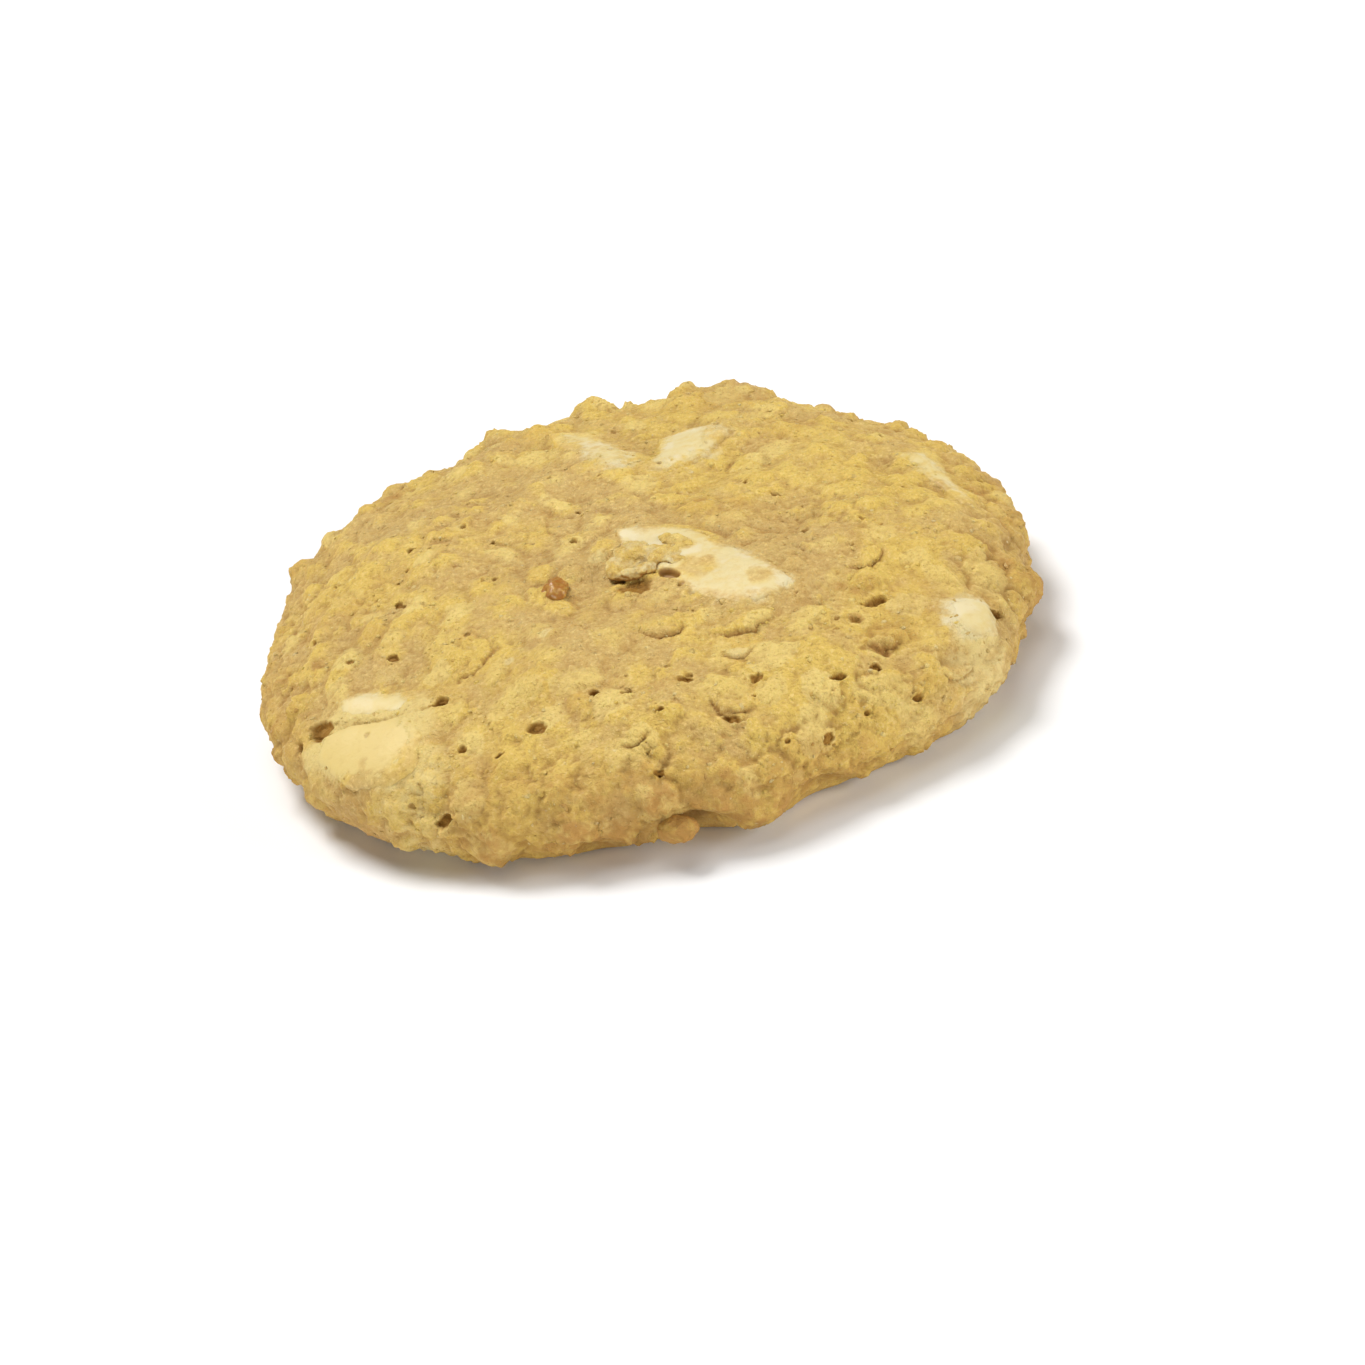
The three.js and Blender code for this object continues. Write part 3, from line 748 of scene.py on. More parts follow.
def plate_reach(points, plate, wobble):
    place, width, length, rise = plate
    near = close_to(points, place, PLATE_REACH * length)
    reach = oval_reach(points[near], place, width, length)
    forward = (points[near] - place["point"]) @ place["along"] / (width / 2)
    return near, reach * (1 + PLATE_RAGGEDNESS * wobble[near]), forward


def plate_field(points, plates, wobble, broken):
    """Rise of the standing edges, and the cracks under them, which are broken under the small ones. The
    cracks also darken the crust as painted shadow.
    """
    raised = np.zeros(len(points))
    crack = np.zeros(len(points))
    for plate in plates:
        near, reach, forward = plate_reach(points, plate, wobble)
        height = plate[3]
        rise = PLATE_RISE_SHARE * height * ease(*PLATE_SLOPE, forward) * (1 - ease(*PLATE_EDGE, reach))
        raised[near] = np.maximum(raised[near], rise)
        under = ease(*CRACK_FROM, reach) * (1 - ease(*CRACK_TO, reach)) * ease(*CRACK_FRONT, forward)
        if height < SMALL_PLATE_UNDER:
            under *= ease(*CRACK_BREAKS, broken[near])
        crack[near] = np.maximum(crack[near], under * min(1, height / FULL_CRACK_RISE))
    return raised, crack


def refine(azimuth, arc, faces, marked):
    """The mesh with its marked triangles split in four, and their neighbours split to fit."""
    count = len(azimuth)
    ends = np.sort(np.stack([faces, faces[:, [1, 2, 0]]], -1), -1)
    keys = ends[..., 0] * count + ends[..., 1]
    split = np.unique(keys[marked])
    first, second = split // count, split % count
    where = np.minimum(np.searchsorted(split, keys), len(split) - 1)
    found = split[where] == keys
    middle = count + where
    parts = found.sum(1)
    whole = parts == 3
    corner, half = faces[whole].T, middle[whole].T
    pieces = [faces[parts == 0].T]
    pieces += [(corner[k], half[k], half[k - 1]) for k in range(3)]
    pieces.append(half)
    for k in range(3):
        once = (parts == 1) & found[:, k]
        corner, half = np.roll(faces[once], -k, axis=1).T, middle[once, k]
        pieces += [(corner[0], half, corner[2]), (half, corner[1], corner[2])]
        twice = (parts == 2) & ~found[:, (k + 2) % 3]
        corner = np.roll(faces[twice], -k, axis=1).T
        half, other = middle[twice, k], middle[twice, (k + 1) % 3]
        pieces += [(corner[0], half, corner[2]), (half, corner[1], other), (half, other, corner[2])]
    point = surface_at(azimuth, arc)["point"]
    between_ends = (point[first] + point[second]) / 2
    azimuth = np.append(azimuth, np.arctan2(between_ends[:, 1], between_ends[:, 0]))
    arc = np.append(arc, (arc[first] + arc[second]) / 2)
    return azimuth, arc, np.concatenate([np.stack(piece, -1) for piece in pieces])


def unrolled(azimuth, arc):
    """Places on the crust as if it were rolled out flat round the middle of its top."""
    return np.stack([arc * np.cos(azimuth), arc * np.sin(azimuth)], -1)


def line_distance(flat, start, end):
    """How far flat places are from the straight line between two of them."""
    run = end - start
    share = np.clip((flat - start) @ run / (run @ run), 0, 1)
    return np.linalg.norm(flat - start - share[:, None] * run, axis=1)


def outline_distance(flat, corners):
    """How far rolled-out places are outside an outline, or inside it with a minus."""
    x, y = np.array(corners).T
    corners = unrolled(np.arctan2(y, x), arc_on_top(np.hypot(x, y) / RADIUS))
    inside = np.zeros(len(flat), bool)
    nearest = np.full(len(flat), np.inf)
    for start, end in zip(corners, np.roll(corners, -1, axis=0)):
        nearest = np.minimum(nearest, line_distance(flat, start, end))
        crosses = (flat[:, 1] < start[1]) != (flat[:, 1] < end[1])
        with np.errstate(divide="ignore", invalid="ignore"):
            run = (end[0] - start[0]) / (end[1] - start[1])
            inside ^= crosses & (flat[:, 0] < start[0] + (flat[:, 1] - start[1]) * run)
    return np.where(inside, -nearest, nearest)


def near_edges(points, flat, plates):
    """Which places lie near a standing edge of an oat or the outline of a chunk."""
    near = np.zeros(len(points), bool)
    for plate in plates:
        close, reach, forward = plate_reach(points, plate, np.zeros(len(points)))
        near[close] |= (np.abs(reach - 1) < PLATE_MARGIN) & (forward > 0)
    for corners in CHUNK_FACES.values():
        near |= np.abs(outline_distance(flat, corners)) < CHUNK_MARGIN
    return near


# Everything that the crust and the chunks share, worked out once on the smooth form.
PIT_PLACES = make_pits()
PLATE_PLACES = make_plates()
azimuths, arcs, FACES = ring_mesh()
for margin in PIT_MARGINS:
    middles = surface_at(azimuths, arcs)["point"][FACES].mean(1)
    marked = near_pits(middles, PIT_PLACES, margin)
    if margin == PIT_MARGINS[0]:
        marked |= near_edges(middles, unrolled(azimuths, arcs)[FACES].mean(1), PLATE_PLACES)
    azimuths, arcs, FACES = refine(azimuths, arcs, FACES, marked)
BASE = surface_at(azimuths, arcs)
POINTS = BASE["point"]
ZERO = np.zeros(len(POINTS))
FLAT = unrolled(azimuths, arcs)
RISE, SWELL = large_relief(BASE)
FADE = ease(0, RELIEF_FADE, POINTS[:, 2])
FINE_FADE = ease(0, FINE_FADE_HEIGHT, POINTS[:, 2])
COARSE, WOBBLE, FINE, RAGGED, OUTLINE, PATCHES, BROWNING = (fractal(POINTS, *row) for row in NOISES)
KNOBS, RIM_KNOBS, GRAINS = (knob_noise(POINTS, *row) for row in KNOB_NOISES)
BENT = POINTS + LUMP_BEND * np.stack([WOBBLE, RAGGED, FINE], -1)
LUMP_INSIDE, LUMP_NUMBER = cell_lumps(BENT, *LUMP_NOISE)
GRIT_INSIDE, GRIT_NUMBER = cell_lumps(BENT, *GRIT_NOISE)


def laid(rise):
    """Points of the crust for a rise over the smooth form."""
    moved = POINTS + BASE["normal"] * rise[:, None] + BASE["outward"] * SWELL[:, None]
    moved[:, 2] = np.maximum(moved[:, 2], 0)
    return moved


def add_object(name, data):
    item = bpy.data.objects.new(name, data)
    bpy.context.scene.collection.objects.link(item)
    return item


def add_piece(name, vertices, faces, attributes, material, node=None):
    """A piece that rides on the cookie's body, and stands for a node of the solids if one is named."""
    mesh = bpy.data.meshes.new(name)
    mesh.from_pydata((vertices * MM).tolist(), [], faces.tolist())
    for title, values in attributes.items():
        layer = mesh.attributes.new(title, "FLOAT", "POINT")
        layer.data.foreach_set("value", np.asarray(values, np.float32))
    mesh.polygons.foreach_set("use_smooth", np.ones(len(mesh.polygons), bool))
    mesh.materials.append(material)
    mesh.update()
    piece = add_object(name, mesh)
    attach(piece, BODY)
    if node:
        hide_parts(node)


class Shade:
    """A node material, with short names for the nodes it takes."""

    def __init__(self, name):
        self.material = bpy.data.materials.new(name)
        self.material.use_nodes = True
        self.tree = self.material.node_tree
        self.shader = next(node for node in self.tree.nodes if node.type == "BSDF_PRINCIPLED")
        self.coordinates = self.tree.nodes.new("ShaderNodeTexCoord").outputs["Object"]

    def link(self, value, socket):
        """Sets a socket from a number, another socket or the name of an attribute."""
        if isinstance(value, str):
            value = self.node("Attribute", "Fac", {}, attribute_name=value)
        if hasattr(value, "links"):
            self.tree.links.new(value, socket)
        else:
            socket.default_value = value

    def node(self, kind, result, inputs, **settings):
        """One output of a new node, with its settings made and its inputs linked or set."""
        node = self.tree.nodes.new("ShaderNode" + kind)
        for name, value in settings.items():
            setattr(node, name, value)
        for name, value in inputs.items():
            self.link(value, node.inputs[name])
        return node.outputs[result]

    def noise(self, size, detail, roughness):
        """Noise with features of about the given size in millimetres."""
        scale = 1 / (size * MM)
        inputs = {"Vector": self.coordinates, "Scale": scale, "Detail": detail, "Roughness": roughness}
        return self.node("TexNoise", "Fac", inputs)

    def span(self, value, low, high, to_low=0.0, to_high=1.0):
        """A value eased from the range low to high into another range."""
        inputs = {"Value": value, "From Min": low, "From Max": high, "To Min": to_low, "To Max": to_high}
        return self.node("MapRange", "Result", inputs, interpolation_type="SMOOTHSTEP")

    def combine(self, operation, first, second):
        return self.node("Math", "Value", {0: first, 1: second}, operation=operation)

    def mix(self, share, first, second):
        return self.node("Mix", "Result", {"Factor": share, "A": first, "B": second}, data_type="RGBA")

    def bump(self, height, distance, strength, **normal):
        inputs = {"Distance": distance * MM, "Strength": strength, "Height": height}
        return self.node("Bump", "Normal", {**inputs, **normal})

    def set(self, **values):
        for name, value in values.items():
            self.link(value, self.shader.inputs[name.replace("_", " ")])


def colour(*values):
    """A colour as it looks on screen, 0 to 255, as the linear value that a node takes."""
    linear = [c / 255 / 12.92 if c <= 10 else ((c / 255 + 0.055) / 1.055) ** 2.4 for c in values]
    return (*linear, 1.0)


DOUGH_TAN = colour(199, 166, 97)
DOUGH_GREY = colour(192, 161, 99)
OAT_YELLOW = colour(211, 179, 89)
OAT_PALE = colour(217, 190, 111)
SPECK_PALE = colour(228, 200, 130)
SPECK_DARK = colour(168, 129, 66)
TOASTED = colour(178, 134, 68)
TOASTED_DEEP = colour(160, 106, 46)
# Browns of painted shade, for creases and dents and for the inside of holes.
CREVICE_SHADE = colour(158, 116, 54)
PIT_SHADE_BROWN = colour(150, 108, 38)
CREAM = colour(216, 199, 148)
CREAM_WHITE = colour(218, 204, 164)
BUTTER = colour(215, 190, 120)
CREAM_DEEP = colour(212, 188, 124)

# Noises of the materials: size, detail, roughness.
SPECKLE = (0.42, 3, 0.65)
MOTTLE = (1.8, 3, 0.6)
SMEAR = (1.5, 3, 0.55)
CLOUD = (3.0, 2, 0.5)
VEIL_EDGE = (1.2, 4, 0.65)
TOAST_PATCH = (1.4, 3, 0.6)
SHEEN = (0.5, 1, 0.5)
FINE_GRAIN = (0.3, 2, 0.6)
COARSE_GRAIN = (0.75, 3, 0.55)
CHOCOLATE_GRAIN = (0.6, 3, 0.55)
TOASTED_GRAIN = (0.45, 3, 0.6)


def crust_colour(shade):
    """Tan dough with yellow oats showing through, and fine pale and dark grains."""
    speckle = shade.noise(*SPECKLE)
    mottle = shade.noise(*MOTTLE)
    base = shade.mix(shade.span(mottle, 0.35, 0.65), DOUGH_TAN, DOUGH_GREY)
    oat = shade.mix(shade.span("tone", 0.2, 0.9), OAT_YELLOW, OAT_PALE)
    flake = shade.combine("ADD", "flake", shade.span(mottle, 0.3, 0.7, -0.2, 0.2))
    base = shade.mix(shade.span(flake, 0.0, 0.8), base, oat)
    base = shade.mix(shade.span(speckle, 0.52, 0.68, 0.0, 0.55), base, SPECK_PALE)
    return shade.mix(shade.span(speckle, 0.47, 0.33, 0.0, 0.45), base, SPECK_DARK)


def cream_over(shade, base):
    """White chocolate that shows through the crust where the veil is thin."""
    cream = shade.mix(shade.span(shade.noise(*SMEAR), 0.4, 0.7), CREAM, CREAM_DEEP)
    cream = shade.mix(shade.span(shade.noise(*CLOUD), 0.5, 0.65), cream, CREAM_WHITE)
    cream = shade.mix("butter", cream, BUTTER)
    edge = shade.span(shade.noise(*VEIL_EDGE), 0.3, 0.7, -0.28, 0.28)
    veil = shade.combine("ADD", "veil", edge)
    return shade.mix(shade.span(veil, 0.2, 0.95), base, cream)


def crust_material():
    shade = Shade("baked_crust")
    base = crust_colour(shade)
    patchy = shade.span(shade.noise(*TOAST_PATCH), 0.3, 0.6, 0.3, 1.0)
    # Toast is real browning, with painted shade added at the front and foot of the rim.
    base = shade.mix(shade.combine("MULTIPLY", "toast_and_shade", patchy), base, TOASTED)
    base = cream_over(shade, base)
    # Painted shade: brown in the hollows and holes of the crust.
    base = shade.mix("hollow_shade", base, CREVICE_SHADE)
    base = shade.mix("pit_shade", base, PIT_SHADE_BROWN)
    rough = shade.span(shade.noise(*SHEEN), 0.66, 0.74, 0.72, 0.36)
    fine = shade.bump(shade.noise(*FINE_GRAIN), 0.2, 1.0)
    grain = shade.bump(shade.noise(*COARSE_GRAIN), 0.35, 0.7, Normal=fine)
    shade.set(Base_Color=base, Roughness=rough, Normal=grain, Specular_IOR_Level=0.3)
    shade.set(Subsurface_Weight=0.12, Subsurface_Radius=(1.0, 0.6, 0.25), Subsurface_Scale=0.9 * MM)
    return shade.material


def chocolate_material():
    """Cream chocolate under a film of crust that thickens towards its edge."""
    shade = Shade("white_chocolate")
    base = cream_over(shade, crust_colour(shade))
    # Painted shade: the face is browned where a hole of the crust runs over it.
    base = shade.mix("pit_shade", base, CREVICE_SHADE)
    grain = shade.bump(shade.noise(*CHOCOLATE_GRAIN), 0.2, 0.4)
    shade.set(Base_Color=base, Roughness=0.55, Normal=grain, Specular_IOR_Level=0.35)
    shade.set(Subsurface_Weight=0.25, Subsurface_Radius=(1.0, 0.8, 0.45), Subsurface_Scale=1.2 * MM)
    return shade.material


def toasted_material():
    shade = Shade("toasted_oat")
    grain = shade.noise(*TOASTED_GRAIN)
    base = shade.mix(shade.span(grain, 0.35, 0.65), TOASTED_DEEP, TOASTED)
    base = shade.mix(shade.span(grain, 0.6, 0.75), base, OAT_YELLOW)
    # Painted shade: the bit is browner in its dents.
    base = shade.mix("hollow_shade", base, PIT_SHADE_BROWN)
    shade.set(Base_Color=base, Roughness=0.32, Normal=shade.bump(grain, 0.15, 0.6))
    shade.set(Subsurface_Weight=0.2, Subsurface_Radius=(1.0, 0.5, 0.2), Subsurface_Scale=0.8 * MM)
    return shade.material


CRUST = crust_material()
CHOCOLATE = chocolate_material()
TOASTED_OAT = toasted_material()


def oval_field(ovals, join, inner, ragged):
    """Soft ovals on the top, even as far as an inner share of each, joined where they overlap."""
    field = ZERO
    for x, y, length, width, heading, share in ovals:
        reach = oval_reach(POINTS, place_on_top(x, y, heading), length, width) + ragged
        field = join(field, share * (1 - ease(inner, 1.15, reach)))
    return field


def spot_field(spots):
    return oval_field(spots, np.maximum, 0.5, 0.35 * WOBBLE)


def crack_field(route, width):
    """1 along a crack on the top, falling to 0 at its width."""
    flat = POINTS[:, :2] + 0.3 * np.stack([WOBBLE, FINE], -1)
    nearest = np.full(len(POINTS), np.inf)
    for start, end in zip(np.array(route), np.array(route[1:])):
        nearest = np.minimum(nearest, line_distance(flat, start, end))
    nearest[BASE["normal"][:, 2] < 0] = np.inf
    return 1 - ease(0.2 * width, width, nearest)


def unit(values):
    """Values kept from 0 to 1."""
    return np.clip(values, 0, 1)


# Relief of the crust.
height, cover, tone = flake_field(POINTS, make_flakes(), BED_RISE + BED_WAVE * COARSE)
cover = neighbour_mean(ease(*FLAKE_COVER, cover) * (0.3 + 0.7 * tone), FACES, COVER_ROUNDS)
pit_depth = PIT_SHARE * pit_field(POINTS, PIT_PLACES, RAGGED)
raised, plate_crack_shade = plate_field(POINTS, PLATE_PLACES, WOBBLE, OUTLINE)
lumps = LUMP_RISE * LUMP_INSIDE * LUMP_NUMBER + GRIT_RISE * GRIT_INSIDE * (0.2 + GRIT_NUMBER) - LUMP_SINK
rim = ease(*KNOBBLY_RIM, BASE["share"])
rim_knobs = RIM_RISES[0] * KNOBS + RIM_RISES[1] * RIM_KNOBS + RIM_RISES[2] * lumps
knobs = KNOB_RISE * KNOBS + GRAIN_RISE * GRAINS + LUMP_SHARE * lumps + rim * rim_knobs
fine_relief = WOBBLE_RISE * WOBBLE + FINE_RISE * FINE
bumps = oval_field(BUMPS, np.add, 0.2, 0.3 * WOBBLE + 0.2 * RAGGED)
flaked = FLAKE_SHARE * height - FLAKE_SINK + COARSE_RISE * COARSE + raised - PLATE_GAP * plate_crack_shade
dough_rise = RISE + bumps + rim_lumps(POINTS, RIM_DETAILS) + FADE * flaked
dough_rise += FINE_FADE * (knobs + fine_relief)
crease = BACK_CREASE_SHARE * crack_field(BACK_CREASE, BACK_CREASE_WIDTH)
crack = np.maximum(crack_field(FRONT_CRACK, FRONT_CRACK_WIDTH), crease)

# Each chunk fills a hollow of the crust, and the crust thins out over its edge.
veil = ZERO
butter = ZERO
bare_share = ZERO
chunk_tops = []
uneven = 0.3 * COARSE + OUTLINE + 0.5 * WOBBLE + 0.25 * FINE
for node, x, y, length, depth, swell, bare, clear, hidden, soft_side, soft, rough, tint, peak in CHUNKS:
    away = outline_distance(FLAT, CHUNK_FACES[node])
    place = place_on_top(x, y, soft_side)
    toward = (POINTS - place["point"]) @ place["along"] / (length / 2)
    veiled = soft * np.clip(toward, -1, 1)
    ragged = away + rough * uneven + 0.5 * veiled
    swelled = RISE + swell * (1 - ease(*SWELL_SPAN, away))
    top = swelled + FACE_COARSE_RISE * COARSE + FACE_WOBBLE_RISE * WOBBLE
    inside = 1 - ease(bare - BARE_BEFORE, bare + BARE_AFTER, ragged)
    film = 1 - ease(bare, hidden + FILM_AFTER, ragged)
    thin = top + FILM_THICKNESS + fine_relief
    dough_rise = dough_rise * (1 - film) + thin * film
    dough_rise = dough_rise * (1 - inside) + (top - CHUNK_POCKET) * inside
    cream = peak * (1 - ease(clear, hidden, ragged + 0.5 * veiled))
    butter = np.where(cream > veil, tint, butter)
    veil = np.maximum(veil, cream)
    chunk_tops.append((node, away, top, depth, cream, tint))
    cover *= 1 - film
    bare_share = np.maximum(bare_share, inside)
holes = PIT_DEPTH_SHARE * FADE * pit_depth + CRACK_DEPTH * crack
dough_rise -= holes

# Colour of the crust, in shares: painted shade in hollows, cracks and holes, oats on its crests, a toasted
# rim with painted shade at its front and foot, and pale places.
smooth_near = neighbour_mean(dough_rise, FACES, NEAR_ROUNDS)
smooth_far = neighbour_mean(smooth_near, FACES, FAR_ROUNDS)
# Painted shade: the crust is browned where it lies below its smoothed self, in soft hollows and under the
# standing edges of oats.
near_hollow_shade = unit((smooth_near - dough_rise) / NEAR_SHADE_DEPTH)
far_hollow_shade = unit((smooth_far - dough_rise) / FAR_SHADE_DEPTH)
hollow_shade = unit(0.45 * near_hollow_shade + 0.4 * far_hollow_shade + 0.45 * plate_crack_shade)
hollow_shade = unit(hollow_shade + 1.1 * unit(-bumps) * (0.8 + RAGGED))
crest = unit((dough_rise - smooth_far) / CREST_HEIGHT)
cover = 0.2 + 0.6 * cover + 0.3 * crest + 0.5 * PATCHES + 0.9 * LUMP_INSIDE * (LUMP_NUMBER - 0.42)
cover = unit(unit(cover + area_field(POINTS, OAT_AREAS)) + 0.5 * unit(bumps))
outer = ease(*TOASTED_RIM, BASE["share"])
# Painted shade: the toast grows towards the front, and towards the foot it is browning and painted shade
# together.
shaded_front = ease(*SHADED_FRONT, POINTS[:, 1])
low = ease(*TOASTED_AND_SHADED_FOOT, POINTS[:, 2])
toast_and_shade = (0.1 + 0.2 * shaded_front) * outer + 0.4 * outer * crest + (0.2 + 0.2 * shaded_front) * low
toast_and_shade = unit(toast_and_shade * (1 + 0.6 * COARSE) + 0.5 * unit(BROWNING - 0.08))
pale_areas = area_field(POINTS, PALE_AREAS)
# At the front, these areas add painted shade and painted light.
toast_and_shade = unit(toast_and_shade + area_field(POINTS, TOAST_AND_SHADE_AREAS)) * (1 - unit(1.6 * pale_areas))
toast_and_shade = np.maximum(toast_and_shade, spot_field(BROWN_SPOTS))
toast_and_shade[BASE["normal"][:, 2] < UNDERSIDE_BELOW] = UNDERSIDE_TOAST
pale_spots = spot_field(PALE_SPOTS)
butter = np.where(pale_areas > veil, 0.8, butter)
veil = unit(np.maximum(veil, 0.8 * pale_spots) + pale_areas)
hollow_shade = hollow_shade * (1 - 0.7 * veil)
# Holes and cracks are browner the deeper they are: partly the dough's own colour, partly painted shade.
browned_and_shaded_holes = unit(pit_depth / BROWN_AND_SHADED_PIT_DEPTH + 0.3 * crack)
crust_values = {"flake": cover, "tone": tone, "hollow_shade": hollow_shade, "pit_shade": browned_and_shaded_holes, "toast_and_shade": toast_and_shade}
crust_values |= {"veil": veil, "butter": butter}
add_piece("dough_crust", laid(dough_rise), FACES, crust_values, CRUST, "dough")


def lens(away, lap, top, depth):
    """A closed body that laps over an outline, with a face that follows a rise and a bowl for its back."""
    faces = FACES[np.all(away[FACES] < lap, axis=1)]
    used, faces = np.unique(faces, return_inverse=True)
    faces = faces.reshape(-1, 3)
    edges = np.sort(np.concatenate([faces[:, [0, 1]], faces[:, [1, 2]], faces[:, [2, 0]]]), axis=1)
    edges, uses = np.unique(edges, axis=0, return_counts=True)
    border = np.zeros(len(used), bool)
    border[edges[uses == 1].ravel()] = True
    below = np.where(border, np.arange(len(used)), len(used) + np.cumsum(~border) - 1)
    outward = unit((away - away.min()) / (lap - away.min()))
    back = top - depth * np.sqrt(np.clip(1 - outward**2, 0.002, 1))
    vertices = np.concatenate([laid(top)[used], laid(back)[used][~border]])
    return used, border, vertices, np.concatenate([faces, below[faces][:, ::-1]])


dough_film = spot_field(DOUGH_SPOTS)
for node, away, top, depth, cream, tint in chunk_tops:
    crusted = (1 - cream) * (fine_relief + 0.15 * lumps)
    face = top - 0.7 * ease(0.0, CHUNK_LAP, away) - 0.7 * holes + crusted
    used, border, vertices, faces = lens(away, CHUNK_LAP, face, depth * CHUNK_BACK_SHARE)
    cream = np.minimum(cream, 1 - dough_film)
    yellowed = np.full(len(cream), tint)
    if node == "chunk_centre":
        cream = np.maximum(cream, pale_spots)
        yellowed = unit(yellowed + 1.6 * dough_film)
    values = {"veil": cream, "flake": cover, "tone": tone, "pit_shade": browned_and_shaded_holes, "butter": yellowed}
    values = {title: np.concatenate([each[used], each[used][~border]]) for title, each in values.items()}
    add_piece("white_" + node, vertices, faces, values, CHOCOLATE, node)


# Pieces that stand on the crust.
SEATS = laid(neighbour_mean(dough_rise, FACES, SEAT_ROUNDS))


def unit_ball(level):
    shape = bmesh.new()
    bmesh.ops.create_icosphere(shape, subdivisions=level, radius=1.0)
    points = np.array([vertex.co[:] for vertex in shape.verts])
    faces = np.array([[vertex.index for vertex in face.verts] for face in shape.faces])
    shape.free()
    return points, faces


def blob(level, place, length, width, depth, rise, lean):
    """A rounded lump seated on the smoothed crust, leaning up along its heading by some degrees."""
    points, faces = unit_ball(level)
    cosine, sine = cos_sin(lean)
    along = place["along"] * cosine + place["normal"] * sine
    normal = np.cross(along, place["across"])
    axes = np.stack([along * length / 2, place["across"] * width / 2, normal * depth / 2])
    seat = SEATS[np.argmin(np.linalg.norm(POINTS - place["point"], axis=1))]
    return seat + place["normal"] * rise + points @ axes, faces


def vertex_normals(vertices, faces):
    a, b, c = (vertices[faces[:, k]] for k in range(3))
    normal = np.cross(b - a, c - a)
    shares = [np.bincount(faces.ravel(), np.repeat(normal[:, k], 3), len(vertices)) for k in range(3)]
    total = np.stack(shares, -1)
    return total / np.linalg.norm(total, axis=1, keepdims=True)


def roughen(vertices, faces, coarse, fine):
    """The lump with bumps along its normals, and how far each point lies in a dent, for painted shade."""
    bumps = coarse * fractal(vertices, *COARSE_ROUGH) + fine * fractal(vertices, *FINE_ROUGH)
    vertices = vertices + vertex_normals(vertices, faces) * bumps[:, None]
    sunk = smoothed_points(vertices, faces, DENT_ROUNDS) - vertices
    return vertices, unit(np.sum(sunk * vertex_normals(vertices, faces), axis=1) / DENT_DEPTH)


def merged(lumps, grid):
    """Several lumps as one closed mesh on an even grid."""
    vertices, faces, count = [], [], 0
    for points, triangles in lumps:
        vertices.append(points)
        faces.append(triangles + count)
        count += len(points)
    mesh = bpy.data.meshes.new("lumps")
    mesh.from_pydata(np.concatenate(vertices).tolist(), [], np.concatenate(faces).tolist())
    carrier = add_object("lumps", mesh)
    remesh = carrier.modifiers.new("merge", "REMESH")
    remesh.mode = "VOXEL"
    remesh.voxel_size = grid
    result = carrier.evaluated_get(bpy.context.evaluated_depsgraph_get()).to_mesh()
    result.calc_loop_triangles()
    points = np.array([vertex.co[:] for vertex in result.vertices])
    triangles = np.array([triangle.vertices[:] for triangle in result.loop_triangles])
    bpy.data.objects.remove(carrier)
    bpy.data.meshes.remove(mesh)
    return points, triangles


def oat_clump():
    lumps = []
    for x, y, heading, *size in CLUMP:
        lumps.append(blob(LUMP_LEVEL, place_on_top(x, y, heading), *size))
    for azimuth in np.linspace(*LIP_AZIMUTHS, LIP_COUNT):
        cosine, sine = cos_sin(azimuth)
        x = LIP_CENTRE[0] + LIP_RADIUS * cosine
        y = LIP_CENTRE[1] + LIP_RADIUS * sine
        size = (LIP_STRETCH * LIP_THICKNESS, LIP_THICKNESS, LIP_THICKNESS)
        lumps.append(blob(LIP_LEVEL, place_on_top(x, y, azimuth + 90), *size, LIP_RISE, 0))
    vertices, faces = merged(lumps, CLUMP_GRID)
    bent = vertices + 0.3 * fractal(vertices, *CLUMP_BEND)[:, None]
    inside, number = cell_lumps(bent, *CLUMP_NOISE)
    rise = 0.24 * inside * (0.3 + number) - 0.12
    vertices = vertices + vertex_normals(vertices, faces) * rise[:, None]
    vertices, dent_shade = roughen(smoothed_points(vertices, faces, NEAR_ROUNDS), faces, *CLUMP_ROUGHNESS)
    # Painted shade: the clump is browner in its dents, in creases between its lumps and on its sides that
    # face down.
    underside_shade = ease(0.2, -0.4, vertex_normals(vertices, faces)[:, 2])
    hollow_shade = unit(0.4 * dent_shade + 0.25 * (1 - inside) + underside_shade)
    away = np.hypot(vertices[:, 0] - BARE_FLAKE[0], vertices[:, 1] - BARE_FLAKE[1])
    veil = (0.3 + 0.35 * number) * ease(*BARE_SPAN, away)
    values = {"flake": 0.4 + 0.5 * number, "tone": number, "hollow_shade": hollow_shade, "veil": veil}
    add_piece("oat_clump", vertices, faces, values, CRUST)


def hanging_lump():
    outward = np.array([*cos_sin(HANGING_LUMP["azimuth"]), 0.0])
    around = np.array([-outward[1], outward[0], 0.0])
    upward = np.array([0.0, 0.0, 1.0])
    centre = outward * HANGING_LUMP["radius"] + upward * HANGING_LUMP["z"]
    sizes = zip((around, outward, upward), ("length", "depth", "height"))
    axes = np.stack([axis * HANGING_LUMP[size] for axis, size in sizes])
    points, faces = unit_ball(HANGING_LEVEL)
    vertices, dent_shade = roughen(centre + points @ axes / 2, faces, *HANGING_ROUGHNESS)
    even = np.ones(len(vertices))
    # The lump is browned all over, and more in its dents as painted shade.
    values = {"flake": 0.8 * even, "hollow_shade": 0.3 + 0.6 * dent_shade, "toast_and_shade": 1.2 * even}
    add_piece("hanging_lump", vertices, faces, values, CRUST)


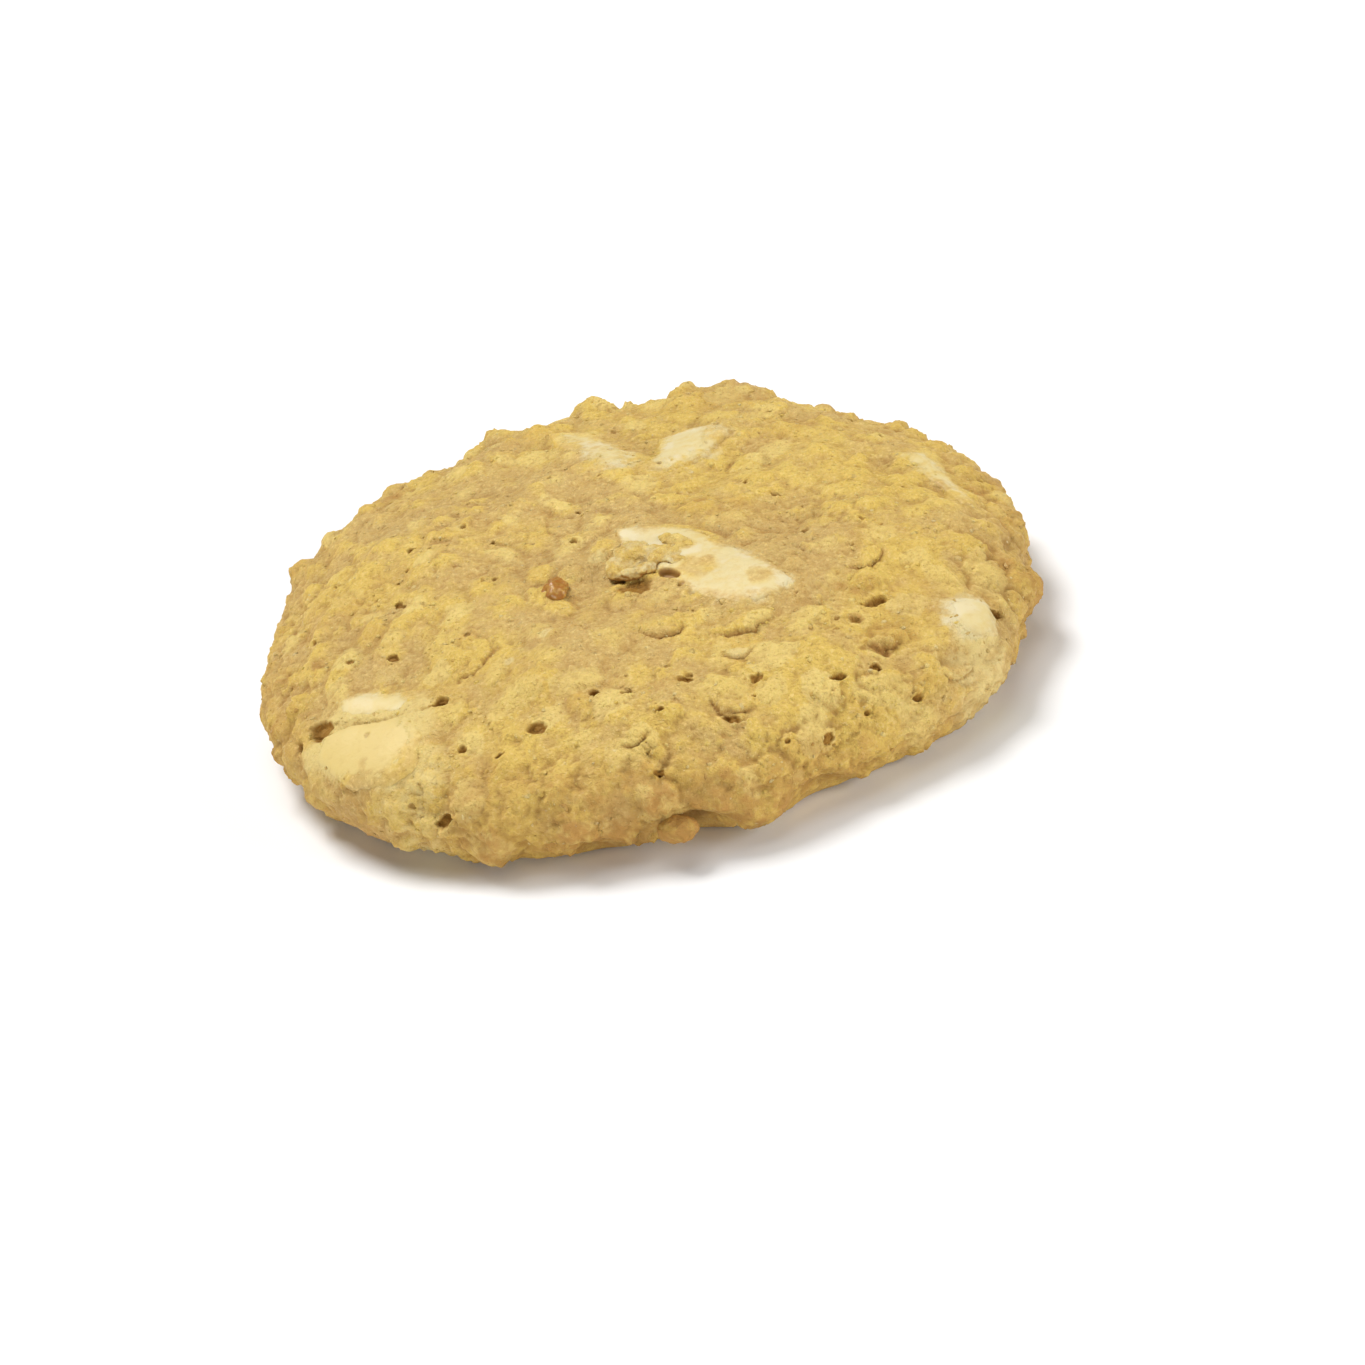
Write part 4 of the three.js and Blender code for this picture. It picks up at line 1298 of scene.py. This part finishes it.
def toasted_bit():
    x, y, heading, *size = TOASTED_BIT
    vertices, faces = blob(LUMP_LEVEL, place_on_top(x, y, heading), *size)
    vertices, dent_shade = roughen(vertices, faces, *TOASTED_ROUGHNESS)
    # Painted shade: the bit is browner in its dents.
    add_piece("toasted_bit", vertices, faces, {"hollow_shade": dent_shade}, TOASTED_OAT)


def crumbs():
    """Small uneven crumbs, half sunk all over the crust, as one mesh."""
    draw = np.random.default_rng(CRUMB_SEED)
    surface = laid(dough_rise)
    corners = surface[FACES]
    area = np.linalg.norm(np.cross(corners[:, 1] - corners[:, 0], corners[:, 2] - corners[:, 0]), axis=1)
    area *= (FADE * (1 - browned_and_shaded_holes) * (1 - unit(1.5 * bare_share)))[FACES].min(1)
    chosen = draw.choice(len(FACES), CRUMB_COUNT, p=area / area.sum())
    under = FACES[chosen, 0]
    upward = vertex_normals(surface, FACES)[under]
    points, faces = unit_ball(CRUMB_LEVEL)
    size = between(CRUMB_SIZE, draw.random((CRUMB_COUNT, 1)) ** 3) / 2
    shape = points * draw.uniform(*CRUMB_DENTS, (CRUMB_COUNT, len(points)))[..., None]
    shape *= draw.uniform(*CRUMB_STRETCH, (CRUMB_COUNT, 1, 3))
    flat = CRUMB_FLATNESS * np.sum(shape * upward[:, None], axis=2, keepdims=True) * upward[:, None]
    seats = corners[chosen].mean(1) - CRUMB_SINK * size * upward
    vertices = seats[:, None] + (shape - flat) * size[:, None]
    firsts = np.arange(CRUMB_COUNT)[:, None, None] * len(points)
    tones = draw.random(CRUMB_COUNT)
    values = {
        "flake": unit(cover[under] + draw.uniform(-0.3, 0.4, CRUMB_COUNT)),
        "tone": tones,
        # Crumbs take the toast of the crust under them, with its painted shade at the front and foot.
        "toast_and_shade": unit(toast_and_shade[under] + 0.5 * (draw.random(CRUMB_COUNT) > 0.93)),
        "veil": 0.35 * (tones > 0.75),
    }
    values = {title: np.repeat(each, len(points)) for title, each in values.items()}
    faces = (faces + firsts).reshape(-1, 3)
    add_piece("crumbs", vertices.reshape(-1, 3), faces, values, CRUST)


oat_clump()
hanging_lump()
crumbs()
toasted_bit()

# Floor, light and camera. The lights are all at one distance in metres: azimuth, elevation, size, power.
FLOOR_SIZE = 4.0
FLOOR_DROP = 0.00005
FLOOR_COLOUR = (0.88, 0.88, 0.88, 1.0)
LIGHT_DISTANCE = 1.2
LIGHTS = {
    "key": (125, 58, 0.6, 13.2),
    "overhead": (90, 86, 0.9, 4.2),
    "front_fill": (-112, 10, 0.35, 5.2),
    "side_fill": (-22, 19, 0.7, 10),
    "left_fill": (190, 10, 0.35, 2),
}
WORLD_STRENGTH = 0.02
VIEW_ELEVATION = 29.5
VIEW_ROLL = 12.4
VIEW_DISTANCE = 460.0
VIEW_TARGET = Vector((0, 0, 7.0))
FRAME_PIXELS = 1365
FOCAL_PIXELS = 4545.5
TARGET_PIXEL = (637.8, 597.1)
SENSOR = 36.0
CLIP_START = 0.01


def make_floor():
    shade = Shade("pale_floor")
    shade.set(Base_Color=FLOOR_COLOUR, Roughness=1.0, Specular_IOR_Level=0.0)
    half = FLOOR_SIZE / 2
    mesh = bpy.data.meshes.new("floor")
    corners = [(-half, -half, 0), (half, -half, 0), (half, half, 0), (-half, half, 0)]
    mesh.from_pydata(corners, [], [(0, 1, 2, 3)])
    mesh.materials.append(shade.material)
    floor = add_object("floor", mesh)
    floor.location.z = -FLOOR_DROP


def soft_light(name, azimuth, elevation, size, power):
    light = bpy.data.lights.new(name, "AREA")
    light.shape = "DISK"
    light.size = size
    light.energy = power
    lamp = add_object(name, light)
    flat, upward = cos_sin(elevation)
    cosine, sine = cos_sin(azimuth)
    away = Vector((flat * cosine, flat * sine, upward))
    lamp.location = away * LIGHT_DISTANCE
    lamp.rotation_euler = away.to_track_quat("Z", "Y").to_euler()


def make_world():
    world = bpy.data.worlds.new("studio")
    world.use_nodes = True
    background = world.node_tree.nodes["Background"].inputs
    background["Color"].default_value = (1, 1, 1, 1)
    background["Strength"].default_value = WORLD_STRENGTH
    bpy.context.scene.world = world


def make_camera():
    flat, upward = cos_sin(VIEW_ELEVATION)
    cosine, sine = cos_sin(VIEW_ROLL)
    back = Vector((0, -flat, upward))
    level = Vector((1, 0, 0))
    upright = back.cross(level)
    up = upright * cosine + level * sine
    right = level * cosine - upright * sine
    eye = VIEW_TARGET + back * VIEW_DISTANCE
    middle = FRAME_PIXELS / 2
    aside = (TARGET_PIXEL[0] - middle) / FOCAL_PIXELS
    above = (middle - TARGET_PIXEL[1]) / FOCAL_PIXELS
    forward = (-back - right * aside - up * above).normalized()
    right = forward.cross(up).normalized()
    up = right.cross(forward)
    data = bpy.data.cameras.new("camera")
    data.sensor_width = SENSOR
    data.lens = FOCAL_PIXELS / FRAME_PIXELS * SENSOR
    data.clip_start = CLIP_START
    camera = add_object("camera", data)
    turned = Matrix((right, up, -forward)).transposed().to_4x4()
    camera.matrix_world = Matrix.Translation(eye * MM) @ turned
    bpy.context.scene.camera = camera


make_floor()
for name, row in LIGHTS.items():
    soft_light(name, *row)
make_world()
make_camera()
bpy.context.scene.view_settings.view_transform = "Standard"
bpy.context.scene.view_settings.look = "None"
